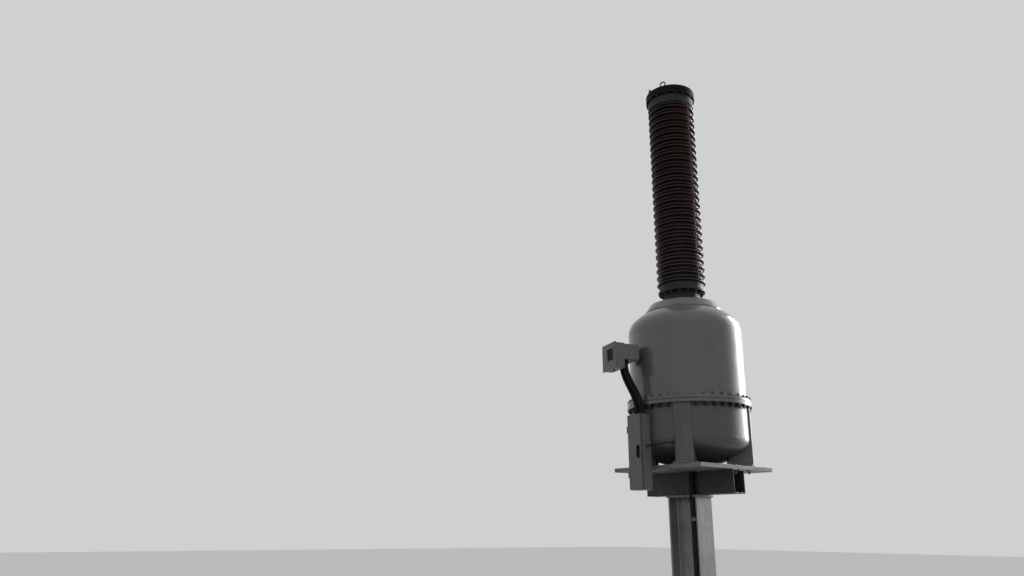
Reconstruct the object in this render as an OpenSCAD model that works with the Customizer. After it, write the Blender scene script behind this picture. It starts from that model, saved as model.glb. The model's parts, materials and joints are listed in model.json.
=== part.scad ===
// Tank-type voltage transformer on a single-column steel stand.
// Millimetres, +Z up, origin at ground level under the tank's axis.
// -Y is the front of the stand, and the connection boxes are on the -X side.

/* [Base] */
// Side of the square base plate
base_w = 640; // [520:10:800]
// Thickness of the base plate
base_t = 40; // [25:1:60]
// Distance between the anchor holes, both ways
anchor_pitch = 500; // [420:10:560]
// Diameter of the anchor holes
anchor_hole_d = 36; // [24:1:42]
// Height of the gussets at the column foot
gusset_h = 180; // [100:10:300]
// Thickness of the gussets at the column foot
gusset_t = 15; // [8:1:25]

/* [Column] */
// Depth of the column section, along Y
column_d = 350; // [300:5:400]
// Flange width of the column section, along X
column_w = 220; // [180:5:260]
// How far the column's axis stands behind the tank's axis
column_y = 60; // [0:5:80]
// Flange thickness of the column section
column_flange_t = 18; // [12:1:25]
// Web thickness of the column section
column_web_t = 12; // [8:1:16]
// Radius between the web and the flanges
column_root_r = 16; // [8:1:20]
// Thickness of the plate on top of the column
column_cap_t = 20; // [12:1:30]
// How far the plate on top of the column stands out past the section
column_cap_lip = 15; // [5:1:30]

/* [Head] */
// Height of the underside of the head channels
head_z = 1940; // [1700:10:2200]
// Width over both head channels, along X
head_w = 160; // [120:5:240]
// Depth of the head channels
head_h = 217; // [150:1:250]
// Web thickness of the head channels
head_web_t = 8; // [5:1:14]
// Flange width of the head channels
head_flange_w = 70; // [40:1:78]
// Flange thickness of the head channels
head_flange_t = 12; // [8:1:18]
// Side of the square table plate
table_w = 1070; // [1000:10:1080]
// Thickness of the table plate
table_t = 38; // [20:1:50]
// Diameter of the drain opening in the table plate
table_hole_d = 260; // [150:10:400]

/* [Tank] */
// Outer radius of the tank shell
tank_r = 568; // [520:1:590]
// Wall thickness of the tank
tank_t = 10; // [6:1:14]
// Gap between the bottom dish and the table plate
dish_gap = 4; // [3:1:20]
// Height of the underside of the lower flange
flange_z = 2760; // [2700:10:2800]
// Thickness of the lower flange
lower_flange_t = 32; // [25:1:60]
// Thickness of the upper flange
upper_flange_t = 30; // [25:1:60]
// How far both flanges stand out past the shell
flange_lip_w = 40; // [30:1:70]
// How far the upper flange stands back from the lower flange's edge
flange_step_w = 4; // [0:1:15]
// Thickness of the gasket ring between the flanges
gasket_t = 4; // [2:1:8]
// Length of the upper shell's straight part
upper_shell_h = 705; // [650:1:850]
// Radius of the bottom dish's knuckle
bottom_knuckle_r = 130; // [60:5:150]
// Radius of the bottom dish's crown
bottom_crown_r = 1000; // [900:10:1400]
// Radius of the dome's knuckle
dome_knuckle_r = 180; // [110:5:190]
// Radius of the dome's crown
dome_crown_r = 775; // [720:5:850]
// Radius of the opening in the dome, under the boss
dome_hole_r = 175; // [150:5:185]

/* [Legs] */
// Turn of the tank on the stand, from the square of the table, in degrees
tank_turn = -12; // [-16:1:-4]
// Width of a leg's outer plate
leg_w = 170; // [150:5:200]
// Clearance between the shell and the legs' outer plates
leg_gap = 4; // [2:1:20]
// Outer radius of the legs' bent corners
leg_bend_r = 18; // [16:1:45]
// Thickness of the legs' plates
leg_t = 10; // [6:1:16]
// Depth of the legs, from the outer face to the side plates' inner ends
leg_depth_w = 242; // [100:2:260]
// Thickness of the legs' foot plates
leg_foot_t = 14; // [8:1:25]
// How far the legs' foot plates stand out past the legs
leg_foot_lip = 28; // [10:1:40]

/* [Bushing] */
// Outer radius of the boss on the dome
boss_r = 390; // [350:5:400]
// Height of the boss's outer edge
boss_edge_h = 19; // [8:1:30]
// Radius of the boss's shoulder, where its slope gets flatter
boss_shoulder_r = 335; // [280:5:345]
// Height of the boss's shoulder above the dome's opening
boss_h = 6; // [3:1:20]
// Radius of the boss's upper face
boss_top_r = 204; // [198:1:240]
// Height of the cone on the boss
boss_cone_h = 40; // [20:1:80]
// Radius of the neck under the bushing
neck_r = 181; // [170:1:190]
// Height of the neck under the bushing
neck_h = 87; // [50:1:110]
// Radius of the bushing's bottom fitting
fitting_r = 240; // [230:5:270]
// Height of the bushing's bottom fitting
fitting_h = 80; // [50:1:120]
// Number of long sheds, with a short one after each
shed_count = 26; // [16:1:32]
// Distance from one long shed to the next
shed_pitch = 80; // [70:1:90]
// Radius of the long sheds
shed_long_r = 250; // [235:1:280]
// Radius of the short sheds
shed_short_r = 233; // [220:1:245]
// Radius of the insulator's body between the sheds
insulator_r = 200; // [180:1:212]
// Radius of the insulator's bore
insulator_bore_r = 150; // [100:5:165]
// Radius of the sheds' rounded rims
shed_rim_r = 6; // [4:0.5:8]
// Height of the top fitting
top_fitting_h = 95; // [80:5:160]
// Radius of the top fitting
top_fitting_r = 246; // [215:1:250]
// Height of the cap's rim
cap_rim_h = 100; // [80:5:150]
// Radius of the cap
cap_r = 266; // [252:1:290]
// Height of the cap's domed top
cap_dome_h = 40; // [30:5:120]

/* [Connection boxes] */
// Direction of the terminal box from the tank axis, in degrees
box_angle = 162; // [150:1:175]
// Width of the terminal box
box_w = 270; // [200:5:320]
// Depth of the terminal box, outwards
box_d = 250; // [180:5:300]
// Depth of the terminal box's tall front part
box_front_d = 95; // [60:5:130]
// Height of the terminal box
box_h = 250; // [200:5:300]
// How far the terminal box's back part stands above its underside
box_step_h = 90; // [40:5:100]
// Height of the terminal box's underside above the flanges
box_rise_h = 284; // [200:2:380]
// Distance of the terminal box's back from the shell
box_gap = 47; // [30:1:110]
// Wall of the terminal box
box_wall = 4; // [2:0.5:8]
// Radius of the terminal box's neck
box_neck_r = 65; // [40:5:70]
// Side of the square window in the terminal box's cover
window_w = 118; // [80:2:170]
// Direction of the cabinet from the tank axis, in degrees
cabinet_angle = 171; // [166:1:172]
// Width of the cabinet
cabinet_w = 190; // [180:5:200]
// Depth of the cabinet, outwards, without its door
cabinet_d = 100; // [90:5:160]
// Height of the cabinet
cabinet_h = 700; // [600:10:720]
// How far the cabinet's top stands below the flanges
cabinet_drop_h = 90; // [60:5:120]
// Clearance between the cabinet's back and the tank and table plate
cabinet_gap = 8; // [6:1:30]
// Wall of the cabinet
cabinet_wall = 3; // [2:0.5:5]
// Thickness of the cabinet's door
door_t = 18; // [12:1:25]
// Distance of the door's hinge pins from the cabinet's side
hinge_out = 12; // [11:0.5:16]
// Height of each hinge
hinge_h = 60; // [40:5:100]

/* [Conduits] */
// Diameter of the two conduits between the boxes
conduit_d = 50; // [30:1:55]
// Height of the conduits' glands
gland_h = 34; // [20:1:50]
// Diameter of the conduit in the column
column_conduit_d = 50; // [30:1:52]

/* [Gas fittings] */
// Direction of the gas gauge from the tank axis, in degrees
gauge_angle = 45; // [38:1:52]
// Height of the gas gauge above the flanges
gauge_rise_h = 59; // [55:1:100]
// Radius of the gas gauge's dial housing
gauge_r = 48; // [35:1:52]
// Direction of the filling valve from the tank axis, in degrees
valve_angle = 202; // [196:1:202]
// How far the filling valve stands below the lower shell
valve_drop_h = 60; // [30:5:80]
// Radius of the valves' stems
valve_r = 13; // [8:1:18]
// Diameter of the gas pipe
gas_pipe_d = 14; // [8:1:20]

/* [Hidden] */
$fn = 96;
weld_gap = 0.3;
flange_r = tank_r + flange_lip_w;
leg_r = tank_r + leg_gap + leg_t;
leg_inner_r = leg_r - leg_depth_w;
box_r = tank_r + box_gap;
leg_angles = [for (k = [0 : 3]) 225 + tank_turn + 90 * k];
table_z = head_z + head_h;
table_top_z = table_z + table_t;
column_top_z = head_z - column_cap_t;
upper_flange_z = flange_z + lower_flange_t + gasket_t;
flange_top_z = upper_flange_z + upper_flange_t;
dome_z = flange_top_z + upper_shell_h;
box_z = flange_top_z + box_rise_h;

function crown_centre(r, crown_r, knuckle_r) = sqrt(pow(crown_r - knuckle_r, 2) - pow(r - knuckle_r, 2));
function crown_height(at_r, r, crown_r, knuckle_r) =
    sqrt(crown_r * crown_r - at_r * at_r) - crown_centre(r, crown_r, knuckle_r);
function arc(cx, cz, r, from, to, steps) =
    [for (k = [0 : steps]) let (a = from + (to - from) * k / steps) [cx + r * cos(a), cz + r * sin(a)]];
// Outer curve of a dished end above z = 0, from the shell's edge up to the radius hole_r
function dish_curve(r, crown_r, knuckle_r, hole_r) =
    let (drop = crown_centre(r, crown_r, knuckle_r),
         seam = atan2(drop, r - knuckle_r))
    concat(arc(r - knuckle_r, 0, knuckle_r, 0, seam, 8),
           arc(0, -drop, crown_r, seam, acos(hole_r / crown_r), 10));
function reversed(points) = [for (k = [len(points) - 1 : -1 : 0]) points[k]];

// Heights that follow a curve are whole millimetres, so that the pieces stacked on them meet face to face
lower_shell_z = ceil(table_top_z + dish_gap + crown_height(0, tank_r, bottom_crown_r, bottom_knuckle_r));
boss_seat_z = ceil(dome_z + crown_height(dome_hole_r, tank_r, dome_crown_r, dome_knuckle_r));
boss_edge_z = dome_z + crown_height(boss_r, tank_r, dome_crown_r, dome_knuckle_r) + boss_edge_h;
boss_shoulder_z = boss_seat_z + boss_h;
neck_z = boss_shoulder_z + boss_cone_h;
fitting_z = neck_z + neck_h;
insulator_z = fitting_z + fitting_h;
insulator_h = shed_count * shed_pitch;
top_fitting_z = insulator_z + insulator_h;
cap_z = top_fitting_z + top_fitting_h;
cap_rim_r = 24;
cap_crown_r = (pow(cap_r - cap_rim_r, 2) + pow(cap_dome_h, 2)) / (2 * cap_dome_h);
cap_crown_z = cap_z + cap_rim_h + cap_dome_h - cap_crown_r;
eye_angle = 195;
eye_at_r = 165;
eye_r = 30;
eye_wire_r = 8;
eye_foot_r = 24;
eye_foot_h = 16;
terminal_angle = 142;
terminal_r = 232;
terminal_w = 70;
terminal_t = 14;
terminal_h = 62;
terminal_foot_w = 44;
terminal_hole_d = 14;
terminal_hole_pitch = 36;
neck_foot_lip = 6;
neck_foot_h = 12;
fitting_flange_h = 26;
fitting_step = 14;
root_sink = 8;

cabinet_lean = 180 - cabinet_angle;
cabinet_r = max(tank_r + cabinet_gap,
                (table_w / 2 + cabinet_gap + cabinet_w / 2 * sin(cabinet_lean)) / cos(cabinet_lean));
cabinet_z = flange_z - cabinet_drop_h - cabinet_h;
cabinet_front = cabinet_r + cabinet_d;
bracket_w = 150;
bracket_t = 12;
bracket_root = 60;
rail_end_gap = 80;
door_gap = 5;
door_edge = 2;
hinge_pin_r = 4;
hinge_knuckle_r = 8;
hinge_play = 0.5;
pin_play = 0.05;
hinge_x = cabinet_front + door_gap + door_t / 2;
hinge_y = -cabinet_w / 2 - hinge_out;
hinge_end_gap = 110;
hinge_zs = [cabinet_z + hinge_end_gap, cabinet_z + cabinet_h - hinge_end_gap - hinge_h];
rail_depth = 40;
gland_r = conduit_d / 2 + 6;
cover_t = 6;
cover_lip = 8;
window_y = 28;
window_z = box_z + (box_h - window_w) / 2 + 16;
gland_pitch = 75;
gland_edge_gap = 10;
box_gland_side = 70;
cabinet_gland_side = 60;
hose_bend = 170;
box_back_d = box_d - box_front_d;
clip_t = 4;
clip_h = 30;
clip_gap = 4;
conduit_at = [2 - column_w / 2,
              column_y - column_d / 2 + column_flange_t + column_conduit_d / 2 + clip_t + clip_gap];
gauge_z = flange_top_z + gauge_rise_h;
gauge_stem_h = 84;
gauge_body_h = 62;
gauge_stem_r = 14;
valve_z = lower_shell_z - valve_drop_h;
valve_nut_h = 18;
valve_nut_lip = 7;
valve_root_h = 60;
valve_out_h = 45;
valve_end_r = tank_r + valve_out_h;
drain_angle = 283;
drain_r = 380;
drain_rise_h = 55;
drain_z = table_top_z + drain_rise_h;
drain_stem_h = 80;
pipe_bend = 70;
clip_zs = [500, 1100, 1700];

// Place of each conduit's gland in the frame of its box: outwards, then sideways
box_gland_at = [for (k = [0, 1])
    [box_r + box_back_d - gland_r - gland_edge_gap, box_gland_side - gland_pitch * k]];
cabinet_gland_at = [for (k = [0, 1])
    [cabinet_r + cabinet_d - gland_r - gland_edge_gap, cabinet_gland_side - gland_pitch * k]];
function turned(p, a, z) = [p[0] * cos(a) - p[1] * sin(a), p[0] * sin(a) + p[1] * cos(a), z];

steel_colour = [0.62, 0.64, 0.66];
paint_colour = [0.55, 0.56, 0.58];
porcelain_colour = [0.27, 0.15, 0.12];
black_colour = [0.07, 0.07, 0.08];

module at_angle(a) {
    rotate([0, 0, a]) children();
}

module dished_end(r, wall, crown_r, knuckle_r, hole_r) {
    outer = dish_curve(r, crown_r, knuckle_r, hole_r);
    inner = dish_curve(r - wall, crown_r - wall, knuckle_r - wall, max(hole_r, 0.01));
    rotate_extrude() polygon(concat(outer, reversed(inner)));
}

module base_plate() {
    color(steel_colour) difference() {
        translate([-base_w / 2, column_y - base_w / 2, 0]) cube([base_w, base_w, base_t]);
        for (x = [-1, 1], y = [-1, 1])
            translate([x * anchor_pitch / 2, column_y + y * anchor_pitch / 2, -1])
                cylinder(d = anchor_hole_d, h = base_t + 2);
        translate([conduit_at[0], conduit_at[1], -1])
            cylinder(d = column_conduit_d + 2 * weld_gap, h = base_t + 2);
    }
}

module base_gussets() {
    edge_gap = 20;
    toe_h = 30;
    top_w = 25;
    reach = (base_w - column_d) / 2 - edge_gap;
    outline = [[0, 0], [reach, 0], [reach, toe_h], [top_w, gusset_h], [0, gusset_h]];
    color(steel_colour) for (side = [-1, 1])
        translate([-gusset_t / 2, column_y + side * column_d / 2, base_t]) rotate([90, 0, 90])
            linear_extrude(gusset_t) polygon([for (p = outline) [side * p[0], p[1]]]);
}

module column_section() {
    inner_y = column_d / 2 - column_flange_t;
    root_x = column_web_t / 2 + column_root_r;
    right = concat([[column_w / 2, column_d / 2], [column_w / 2, inner_y]],
                   arc(root_x, inner_y - column_root_r, column_root_r, 90, 180, 6),
                   arc(root_x, column_root_r - inner_y, column_root_r, 180, 270, 6),
                   [[column_w / 2, -inner_y], [column_w / 2, -column_d / 2]]);
    polygon(concat(right, [for (p = reversed(right)) [-p[0], p[1]]]));
}

module column() {
    color(steel_colour) translate([0, column_y, base_t])
        linear_extrude(column_top_z - base_t) column_section();
}

module column_cap() {
    w = column_w + 2 * column_cap_lip;
    d = column_d + 2 * column_cap_lip;
    color(steel_colour) translate([0, 0, column_top_z]) difference() {
        translate([-w / 2, column_y - d / 2, 0]) cube([w, d, column_cap_t]);
        translate([conduit_at[0], conduit_at[1], -1])
            cylinder(d = column_conduit_d + 2 * weld_gap, h = column_cap_t + 2);
    }
}

module head_channel(side) {
    color(steel_colour) translate([0, -table_w / 2, head_z]) mirror([side < 0 ? 1 : 0, 0, 0]) {
        translate([head_w / 2 - head_web_t, 0, 0]) cube([head_web_t, table_w, head_h]);
        translate([head_w / 2 - head_flange_w, 0, 0]) cube([head_flange_w, table_w, head_flange_t]);
        translate([head_w / 2 - head_flange_w, 0, head_h - head_flange_t])
            cube([head_flange_w, table_w, head_flange_t]);
    }
}

module table_plate() {
    color(steel_colour) difference() {
        translate([-table_w / 2, -table_w / 2, table_z]) cube([table_w, table_w, table_t]);
        translate([0, 0, table_z - 1]) cylinder(d = table_hole_d, h = table_t + 2);
    }
}

module tank_bottom_space() {
    translate([0, 0, lower_shell_z - 1]) cylinder(r = tank_r + weld_gap, h = flange_z - lower_shell_z + 2);
    translate([0, 0, lower_shell_z]) mirror([0, 0, 1]) rotate_extrude()
        polygon(concat([[0, 0]], dish_curve(tank_r + weld_gap, bottom_crown_r, bottom_knuckle_r, 0)));
}

// Half of the bent plate's outline on one side, from the inner end to the middle of the outer face
function leg_edge(half, bend) =
    concat([[leg_inner_r, half]], arc(leg_r - leg_bend_r, half - bend, bend, 90, 0, 6));

module leg(angle) {
    h = flange_z - table_top_z;
    outer = leg_edge(leg_w / 2, leg_bend_r);
    inner = leg_edge(leg_w / 2 - leg_t, leg_bend_r - leg_t);
    color(steel_colour) translate([0, 0, table_top_z]) {
        intersection() {
            at_angle(angle) translate([leg_inner_r - leg_foot_lip, -leg_w / 2 - leg_foot_lip, 0])
                cube([leg_r - leg_inner_r + leg_foot_lip, leg_w + 2 * leg_foot_lip, leg_foot_t]);
            translate([-table_w / 2, -table_w / 2, 0]) cube([table_w, table_w, leg_foot_t]);
        }
        at_angle(angle) difference() {
            linear_extrude(h) polygon(concat(outer, [for (p = reversed(outer)) [p[0], -p[1]]],
                                             [for (p = inner) [p[0], -p[1]]], reversed(inner)));
            translate([0, 0, -table_top_z]) tank_bottom_space();
        }
    }
}

module bottom_dish() {
    color(paint_colour) translate([0, 0, lower_shell_z]) mirror([0, 0, 1])
        dished_end(tank_r, tank_t, bottom_crown_r, bottom_knuckle_r, 0);
}

module shell(z, h) {
    color(paint_colour) translate([0, 0, z]) difference() {
        cylinder(r = tank_r, h = h);
        translate([0, 0, -1]) cylinder(r = tank_r - tank_t, h = h + 2);
    }
}

module flange(z, h, r) {
    color(paint_colour) translate([0, 0, z]) difference() {
        cylinder(r = r, h = h);
        translate([0, 0, -1]) cylinder(r = tank_r + weld_gap, h = h + 2);
    }
}

module flange_gasket() {
    recess = 3;
    color(black_colour) translate([0, 0, flange_z + lower_flange_t]) difference() {
        cylinder(r = flange_r - flange_step_w - recess, h = gasket_t);
        translate([0, 0, -1]) cylinder(r = tank_r - tank_t, h = gasket_t + 2);
    }
}

module top_dome() {
    color(paint_colour) translate([0, 0, dome_z])
        dished_end(tank_r, tank_t, dome_crown_r, dome_knuckle_r, dome_hole_r);
}

module dome_boss() {
    drop = crown_centre(tank_r, dome_crown_r, dome_knuckle_r);
    seat_r = dome_crown_r + weld_gap;
    bevel = 6;
    seat = arc(0, dome_z - drop, seat_r, acos(boss_r / seat_r), acos(dome_hole_r / seat_r), 6);
    color(paint_colour) rotate_extrude()
        polygon(concat(seat, [[dome_hole_r, neck_z], [boss_top_r, neck_z], [boss_shoulder_r, boss_shoulder_z],
                              [boss_r - bevel, boss_edge_z], [boss_r, boss_edge_z - bevel]]));
}

module bushing_neck() {
    color(black_colour) translate([0, 0, neck_z]) difference() {
        union() {
            cylinder(r = neck_r, h = neck_h);
            cylinder(r = boss_top_r - neck_foot_lip, h = neck_foot_h);
        }
        translate([0, 0, -1]) cylinder(r = insulator_bore_r, h = neck_h + 2);
    }
}

module bushing_fitting() {
    color(steel_colour) translate([0, 0, fitting_z]) difference() {
        union() {
            cylinder(r = fitting_r, h = fitting_flange_h);
            cylinder(r = fitting_r - fitting_step, h = fitting_h);
        }
        translate([0, 0, -1]) cylinder(r = insulator_bore_r, h = fitting_h + 2);
    }
}

function shed(z, r) =
    let (slope = 20, lean = 7, reach = r - insulator_r - shed_rim_r)
    concat([[insulator_r, z - shed_rim_r + reach * tan(lean)]],
           arc(r - shed_rim_r, z, shed_rim_r, -90 + lean, 90 - slope, 4),
           [[insulator_r, z + shed_rim_r + reach * tan(slope)]]);

module insulator() {
    sheds = [for (k = [0 : shed_count - 1]) each concat(
        shed(insulator_z + (k + 0.25) * shed_pitch, shed_long_r),
        shed(insulator_z + (k + 0.75) * shed_pitch, shed_short_r))];
    color(porcelain_colour) rotate_extrude()
        polygon(concat([[insulator_bore_r, insulator_z], [insulator_r, insulator_z]], sheds,
                       [[insulator_r, top_fitting_z], [insulator_bore_r, top_fitting_z]]));
}

module top_fitting() {
    color(steel_colour) translate([0, 0, top_fitting_z]) difference() {
        cylinder(r = top_fitting_r, h = top_fitting_h);
        translate([0, 0, -1]) cylinder(r = insulator_bore_r, h = top_fitting_h + 2);
    }
}

module top_cap() {
    edge = asin((cap_r - cap_rim_r) / cap_crown_r);
    color(steel_colour) rotate_extrude()
        polygon(concat([[0, cap_z], [cap_r, cap_z]],
                       arc(cap_r - cap_rim_r, cap_z + cap_rim_h - cap_rim_r, cap_rim_r, 0, 90 - edge, 5),
                       arc(0, cap_crown_z, cap_crown_r, 90 - edge, 90, 6)));
}

module above_cap() {
    difference() {
        children();
        translate([0, 0, cap_crown_z]) sphere(r = cap_crown_r + weld_gap, $fn = 360);
    }
}

function cap_top_z(r) = cap_crown_z + sqrt(pow(cap_crown_r, 2) - pow(r, 2));

module lifting_eyes() {
    color(steel_colour) for (side = [0, 180])
        at_angle(eye_angle + side) above_cap() translate([eye_at_r, 0, cap_top_z(eye_at_r)]) {
            translate([0, 0, -root_sink]) cylinder(r = eye_foot_r, h = eye_foot_h + root_sink);
            translate([0, 0, eye_foot_h + eye_r]) rotate([0, 90, 0])
                rotate_extrude() translate([eye_r, 0]) circle(eye_wire_r, $fn = 16);
        }
}

module line_terminal() {
    foot_h = 16;
    color(steel_colour) at_angle(terminal_angle) above_cap()
        translate([terminal_r, 0, cap_top_z(terminal_r)]) difference() {
            union() {
                translate([-terminal_foot_w, -terminal_w / 2, -root_sink])
                    cube([terminal_foot_w, terminal_w, foot_h + root_sink]);
                translate([-terminal_t, -terminal_w / 2, -root_sink])
                    cube([terminal_t, terminal_w, terminal_h + root_sink]);
            }
            for (side = [-1, 1])
                translate([-terminal_t - 1, side * terminal_hole_pitch / 2, (terminal_h + foot_h) / 2])
                    rotate([0, 90, 0]) cylinder(d = terminal_hole_d, h = terminal_t + 2, $fn = 32);
        }
}

module terminal_box_neck() {
    centre_z = box_z + (box_h + box_step_h) / 2;
    root = 40;
    color(paint_colour) at_angle(box_angle) difference() {
        translate([tank_r - root, 0, centre_z]) rotate([0, 90, 0])
            cylinder(r = box_neck_r, h = box_r - tank_r + root);
        translate([0, 0, box_z]) cylinder(r = tank_r + weld_gap, h = box_h);
    }
}

module terminal_box() {
    color(paint_colour) at_angle(box_angle) translate([box_r, -box_w / 2, box_z]) {
        difference() {
            translate([box_back_d, 0, 0]) cube([box_front_d, box_w, box_h]);
            translate([box_back_d + box_wall, box_wall, box_wall])
                cube([box_front_d, box_w - 2 * box_wall, box_h - 2 * box_wall]);
        }
        translate([0, 0, box_step_h]) cube([box_back_d, box_w, box_h - box_step_h - cover_lip]);
    }
}

module terminal_box_cover() {
    color(paint_colour) at_angle(box_angle) translate([box_r + box_d, 0, box_z]) difference() {
        translate([0, -box_w / 2 - cover_lip, -cover_lip])
            cube([cover_t, box_w + 2 * cover_lip, box_h + 2 * cover_lip]);
        translate([-1, window_y - window_w / 2, window_z - box_z]) cube([cover_t + 2, window_w, window_w]);
    }
}

module terminal_box_window() {
    color(black_colour) at_angle(box_angle)
        translate([box_r + box_d, window_y - window_w / 2, window_z]) cube([cover_t - 2, window_w, window_w]);
}

module cabinet_body() {
    color(steel_colour) at_angle(cabinet_angle)
        translate([cabinet_r, -cabinet_w / 2, cabinet_z]) difference() {
            cube([cabinet_d, cabinet_w, cabinet_h]);
            translate([cabinet_wall, cabinet_wall, cabinet_wall])
                cube([cabinet_d, cabinet_w - 2 * cabinet_wall, cabinet_h - 2 * cabinet_wall]);
        }
}

module box_glands() {
    color(black_colour) at_angle(box_angle) for (at = box_gland_at)
        translate([at[0], at[1], box_z + box_step_h - gland_h]) cylinder(r = gland_r, h = gland_h, $fn = 48);
}

module cabinet_glands() {
    color(black_colour) at_angle(cabinet_angle) for (at = cabinet_gland_at)
        translate([at[0], at[1], cabinet_z + cabinet_h]) cylinder(r = gland_r, h = gland_h, $fn = 48);
}

function bezier(p, t) = pow(1 - t, 3) * p[0] + 3 * t * pow(1 - t, 2) * p[1] + 3 * t * t * (1 - t) * p[2]
    + pow(t, 3) * p[3];
function unit(v) = v / norm(v);

// A round tube along a curve that never runs along the side direction
module tube(points, r, sides, start, finish, side_of) {
    last = len(points) - 1;
    along = [for (k = [0 : last]) k == 0 ? start : k == last ? finish : unit(points[k + 1] - points[k - 1])];
    rings = [for (k = [0 : last])
        let (u = unit(cross(along[k], side_of)), v = cross(along[k], u))
        each [for (s = [0 : sides - 1]) let (a = 360 * s / sides) points[k] + r * (cos(a) * u + sin(a) * v)]];
    sides_faces = [for (k = [0 : last - 1], s = [0 : sides - 1])
        let (n = (s + 1) % sides)
        each [[k * sides + s, k * sides + n, (k + 1) * sides + s],
              [k * sides + n, (k + 1) * sides + n, (k + 1) * sides + s]]];
    ends = [[for (s = [sides - 1 : -1 : 0]) s], [for (s = [0 : sides - 1]) last * sides + s]];
    polyhedron(points = rings, faces = concat(sides_faces, ends));
}

module box_conduits() {
    color(black_colour) for (k = [0, 1]) {
        top = turned(box_gland_at[k], box_angle, box_z + box_step_h - gland_h);
        foot = turned(cabinet_gland_at[k], cabinet_angle, cabinet_z + cabinet_h + gland_h);
        course = [top, top - [0, 0, hose_bend], foot + [0, 0, hose_bend], foot];
        tube([for (s = [0 : 10]) bezier(course, s / 10)], conduit_d / 2, 10,
             [0, 0, -1], [0, 0, -1], [0, 1, 0.001]);
    }
}

module cabinet_rails() {
    plate_t = 3;
    edge_gap = 20;
    row_w = 44;
    row_y = 42;
    h = cabinet_h - 2 * rail_end_gap;
    color(steel_colour) at_angle(cabinet_angle)
        translate([cabinet_r + cabinet_wall, 0, cabinet_z + rail_end_gap]) {
            translate([0, -cabinet_w / 2 + edge_gap, 0]) cube([plate_t, cabinet_w - 2 * edge_gap, h]);
            for (side = [-1, 1])
                translate([plate_t, side * row_y - row_w / 2, edge_gap])
                    cube([rail_depth - plate_t, row_w, h - 2 * edge_gap]);
        }
}

module cabinet_brackets() {
    lower_gap = 8;
    upper_drop = 70;
    color(steel_colour) {
        difference() {
            at_angle(cabinet_angle)
                translate([table_w / 2 - bracket_root, -bracket_w / 2, table_z + lower_gap])
                    cube([cabinet_r - table_w / 2 + bracket_root, bracket_w, table_t - 2 * lower_gap]);
            translate([-table_w / 2, -table_w / 2, table_z]) cube([table_w, table_w, table_t]);
        }
        difference() {
            at_angle(cabinet_angle)
                translate([tank_r - bracket_root, -bracket_w / 2, cabinet_z + cabinet_h - upper_drop])
                    cube([cabinet_r - tank_r + bracket_root, bracket_w, bracket_t]);
            translate([0, 0, lower_shell_z]) cylinder(r = tank_r + weld_gap, h = flange_z - lower_shell_z);
        }
    }
}

module cabinet_hinges() {
    leaf_t = 5;
    leaf_w = 30;
    arm_t = 6;
    back_gap = 3;
    h = hinge_h / 2 - hinge_play;
    color(steel_colour) at_angle(cabinet_angle) for (z = hinge_zs) translate([0, 0, z]) {
        translate([hinge_x, hinge_y, 0]) cylinder(r = hinge_knuckle_r, h = h, $fn = 32);
        translate([hinge_x, hinge_y, 0]) cylinder(r = hinge_pin_r, h = hinge_h, $fn = 32);
        translate([cabinet_front - leaf_w, hinge_y + hinge_out - leaf_t, 0]) cube([leaf_w, leaf_t, h]);
        translate([cabinet_front - back_gap - arm_t, hinge_y - arm_t / 2, 0])
            cube([hinge_x - cabinet_front + back_gap + arm_t, arm_t, h]);
        translate([cabinet_front - back_gap - arm_t, hinge_y - arm_t / 2, 0]) cube([arm_t, hinge_out - 1, h]);
    }
}

module cabinet_door() {
    w = cabinet_w - 2 * door_edge;
    h = cabinet_h - 2 * door_edge;
    skin = 3;
    arm_t = 6;
    color(steel_colour) at_angle(cabinet_angle) {
        translate([cabinet_front + door_gap, -w / 2, cabinet_z + door_edge]) difference() {
            cube([door_t, w, h]);
            translate([-1, skin, skin]) cube([door_t - skin + 1, w - 2 * skin, h - 2 * skin]);
        }
        for (z = hinge_zs) translate([hinge_x, hinge_y, z + hinge_h / 2 + hinge_play]) difference() {
            union() {
                cylinder(r = hinge_knuckle_r, h = hinge_h / 2, $fn = 32);
                translate([-arm_t / 2, 0, 0]) cube([arm_t, hinge_out + door_edge + 1, hinge_h / 2]);
            }
            translate([0, 0, -1]) cylinder(r = hinge_pin_r + pin_play, h = hinge_h / 2 + 2, $fn = 32);
        }
    }
}

module door_handle() {
    w = 26;
    h = 120;
    plate_t = 6;
    grip_w = 16;
    grip_end = 10;
    knob_r = 11;
    knob_h = 16;
    knob_drop = 22;
    edge_gap = 50;
    color(black_colour) at_angle(cabinet_angle)
        translate([cabinet_front + door_gap + door_t, cabinet_w / 2 - edge_gap,
                   cabinet_z + cabinet_h / 2 - h / 2]) {
            cube([plate_t, w, h]);
            translate([0, w / 2, h - knob_drop]) rotate([0, 90, 0])
                cylinder(r = knob_r, h = knob_h, $fn = 32);
            translate([plate_t + 4, w / 2 - grip_w / 2, grip_end])
                cube([knob_h - plate_t, grip_w, h - 2 * grip_end]);
        }
}

module column_conduit() {
    color(black_colour) translate([conduit_at[0], conduit_at[1], 0])
        cylinder(d = column_conduit_d, h = table_z, $fn = 48);
}

module conduit_clips() {
    r = column_conduit_d / 2;
    bar_w = 16;
    color(steel_colour) for (z = clip_zs) translate([conduit_at[0], conduit_at[1], z]) difference() {
        union() {
            cylinder(r = r + clip_t, h = clip_h, $fn = 48);
            translate([0, -bar_w / 2, 0]) cube([-conduit_at[0] - column_web_t / 2, bar_w, clip_h]);
        }
        translate([0, 0, -1]) cylinder(r = r + weld_gap, h = clip_h + 2, $fn = 48);
    }
}

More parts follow.
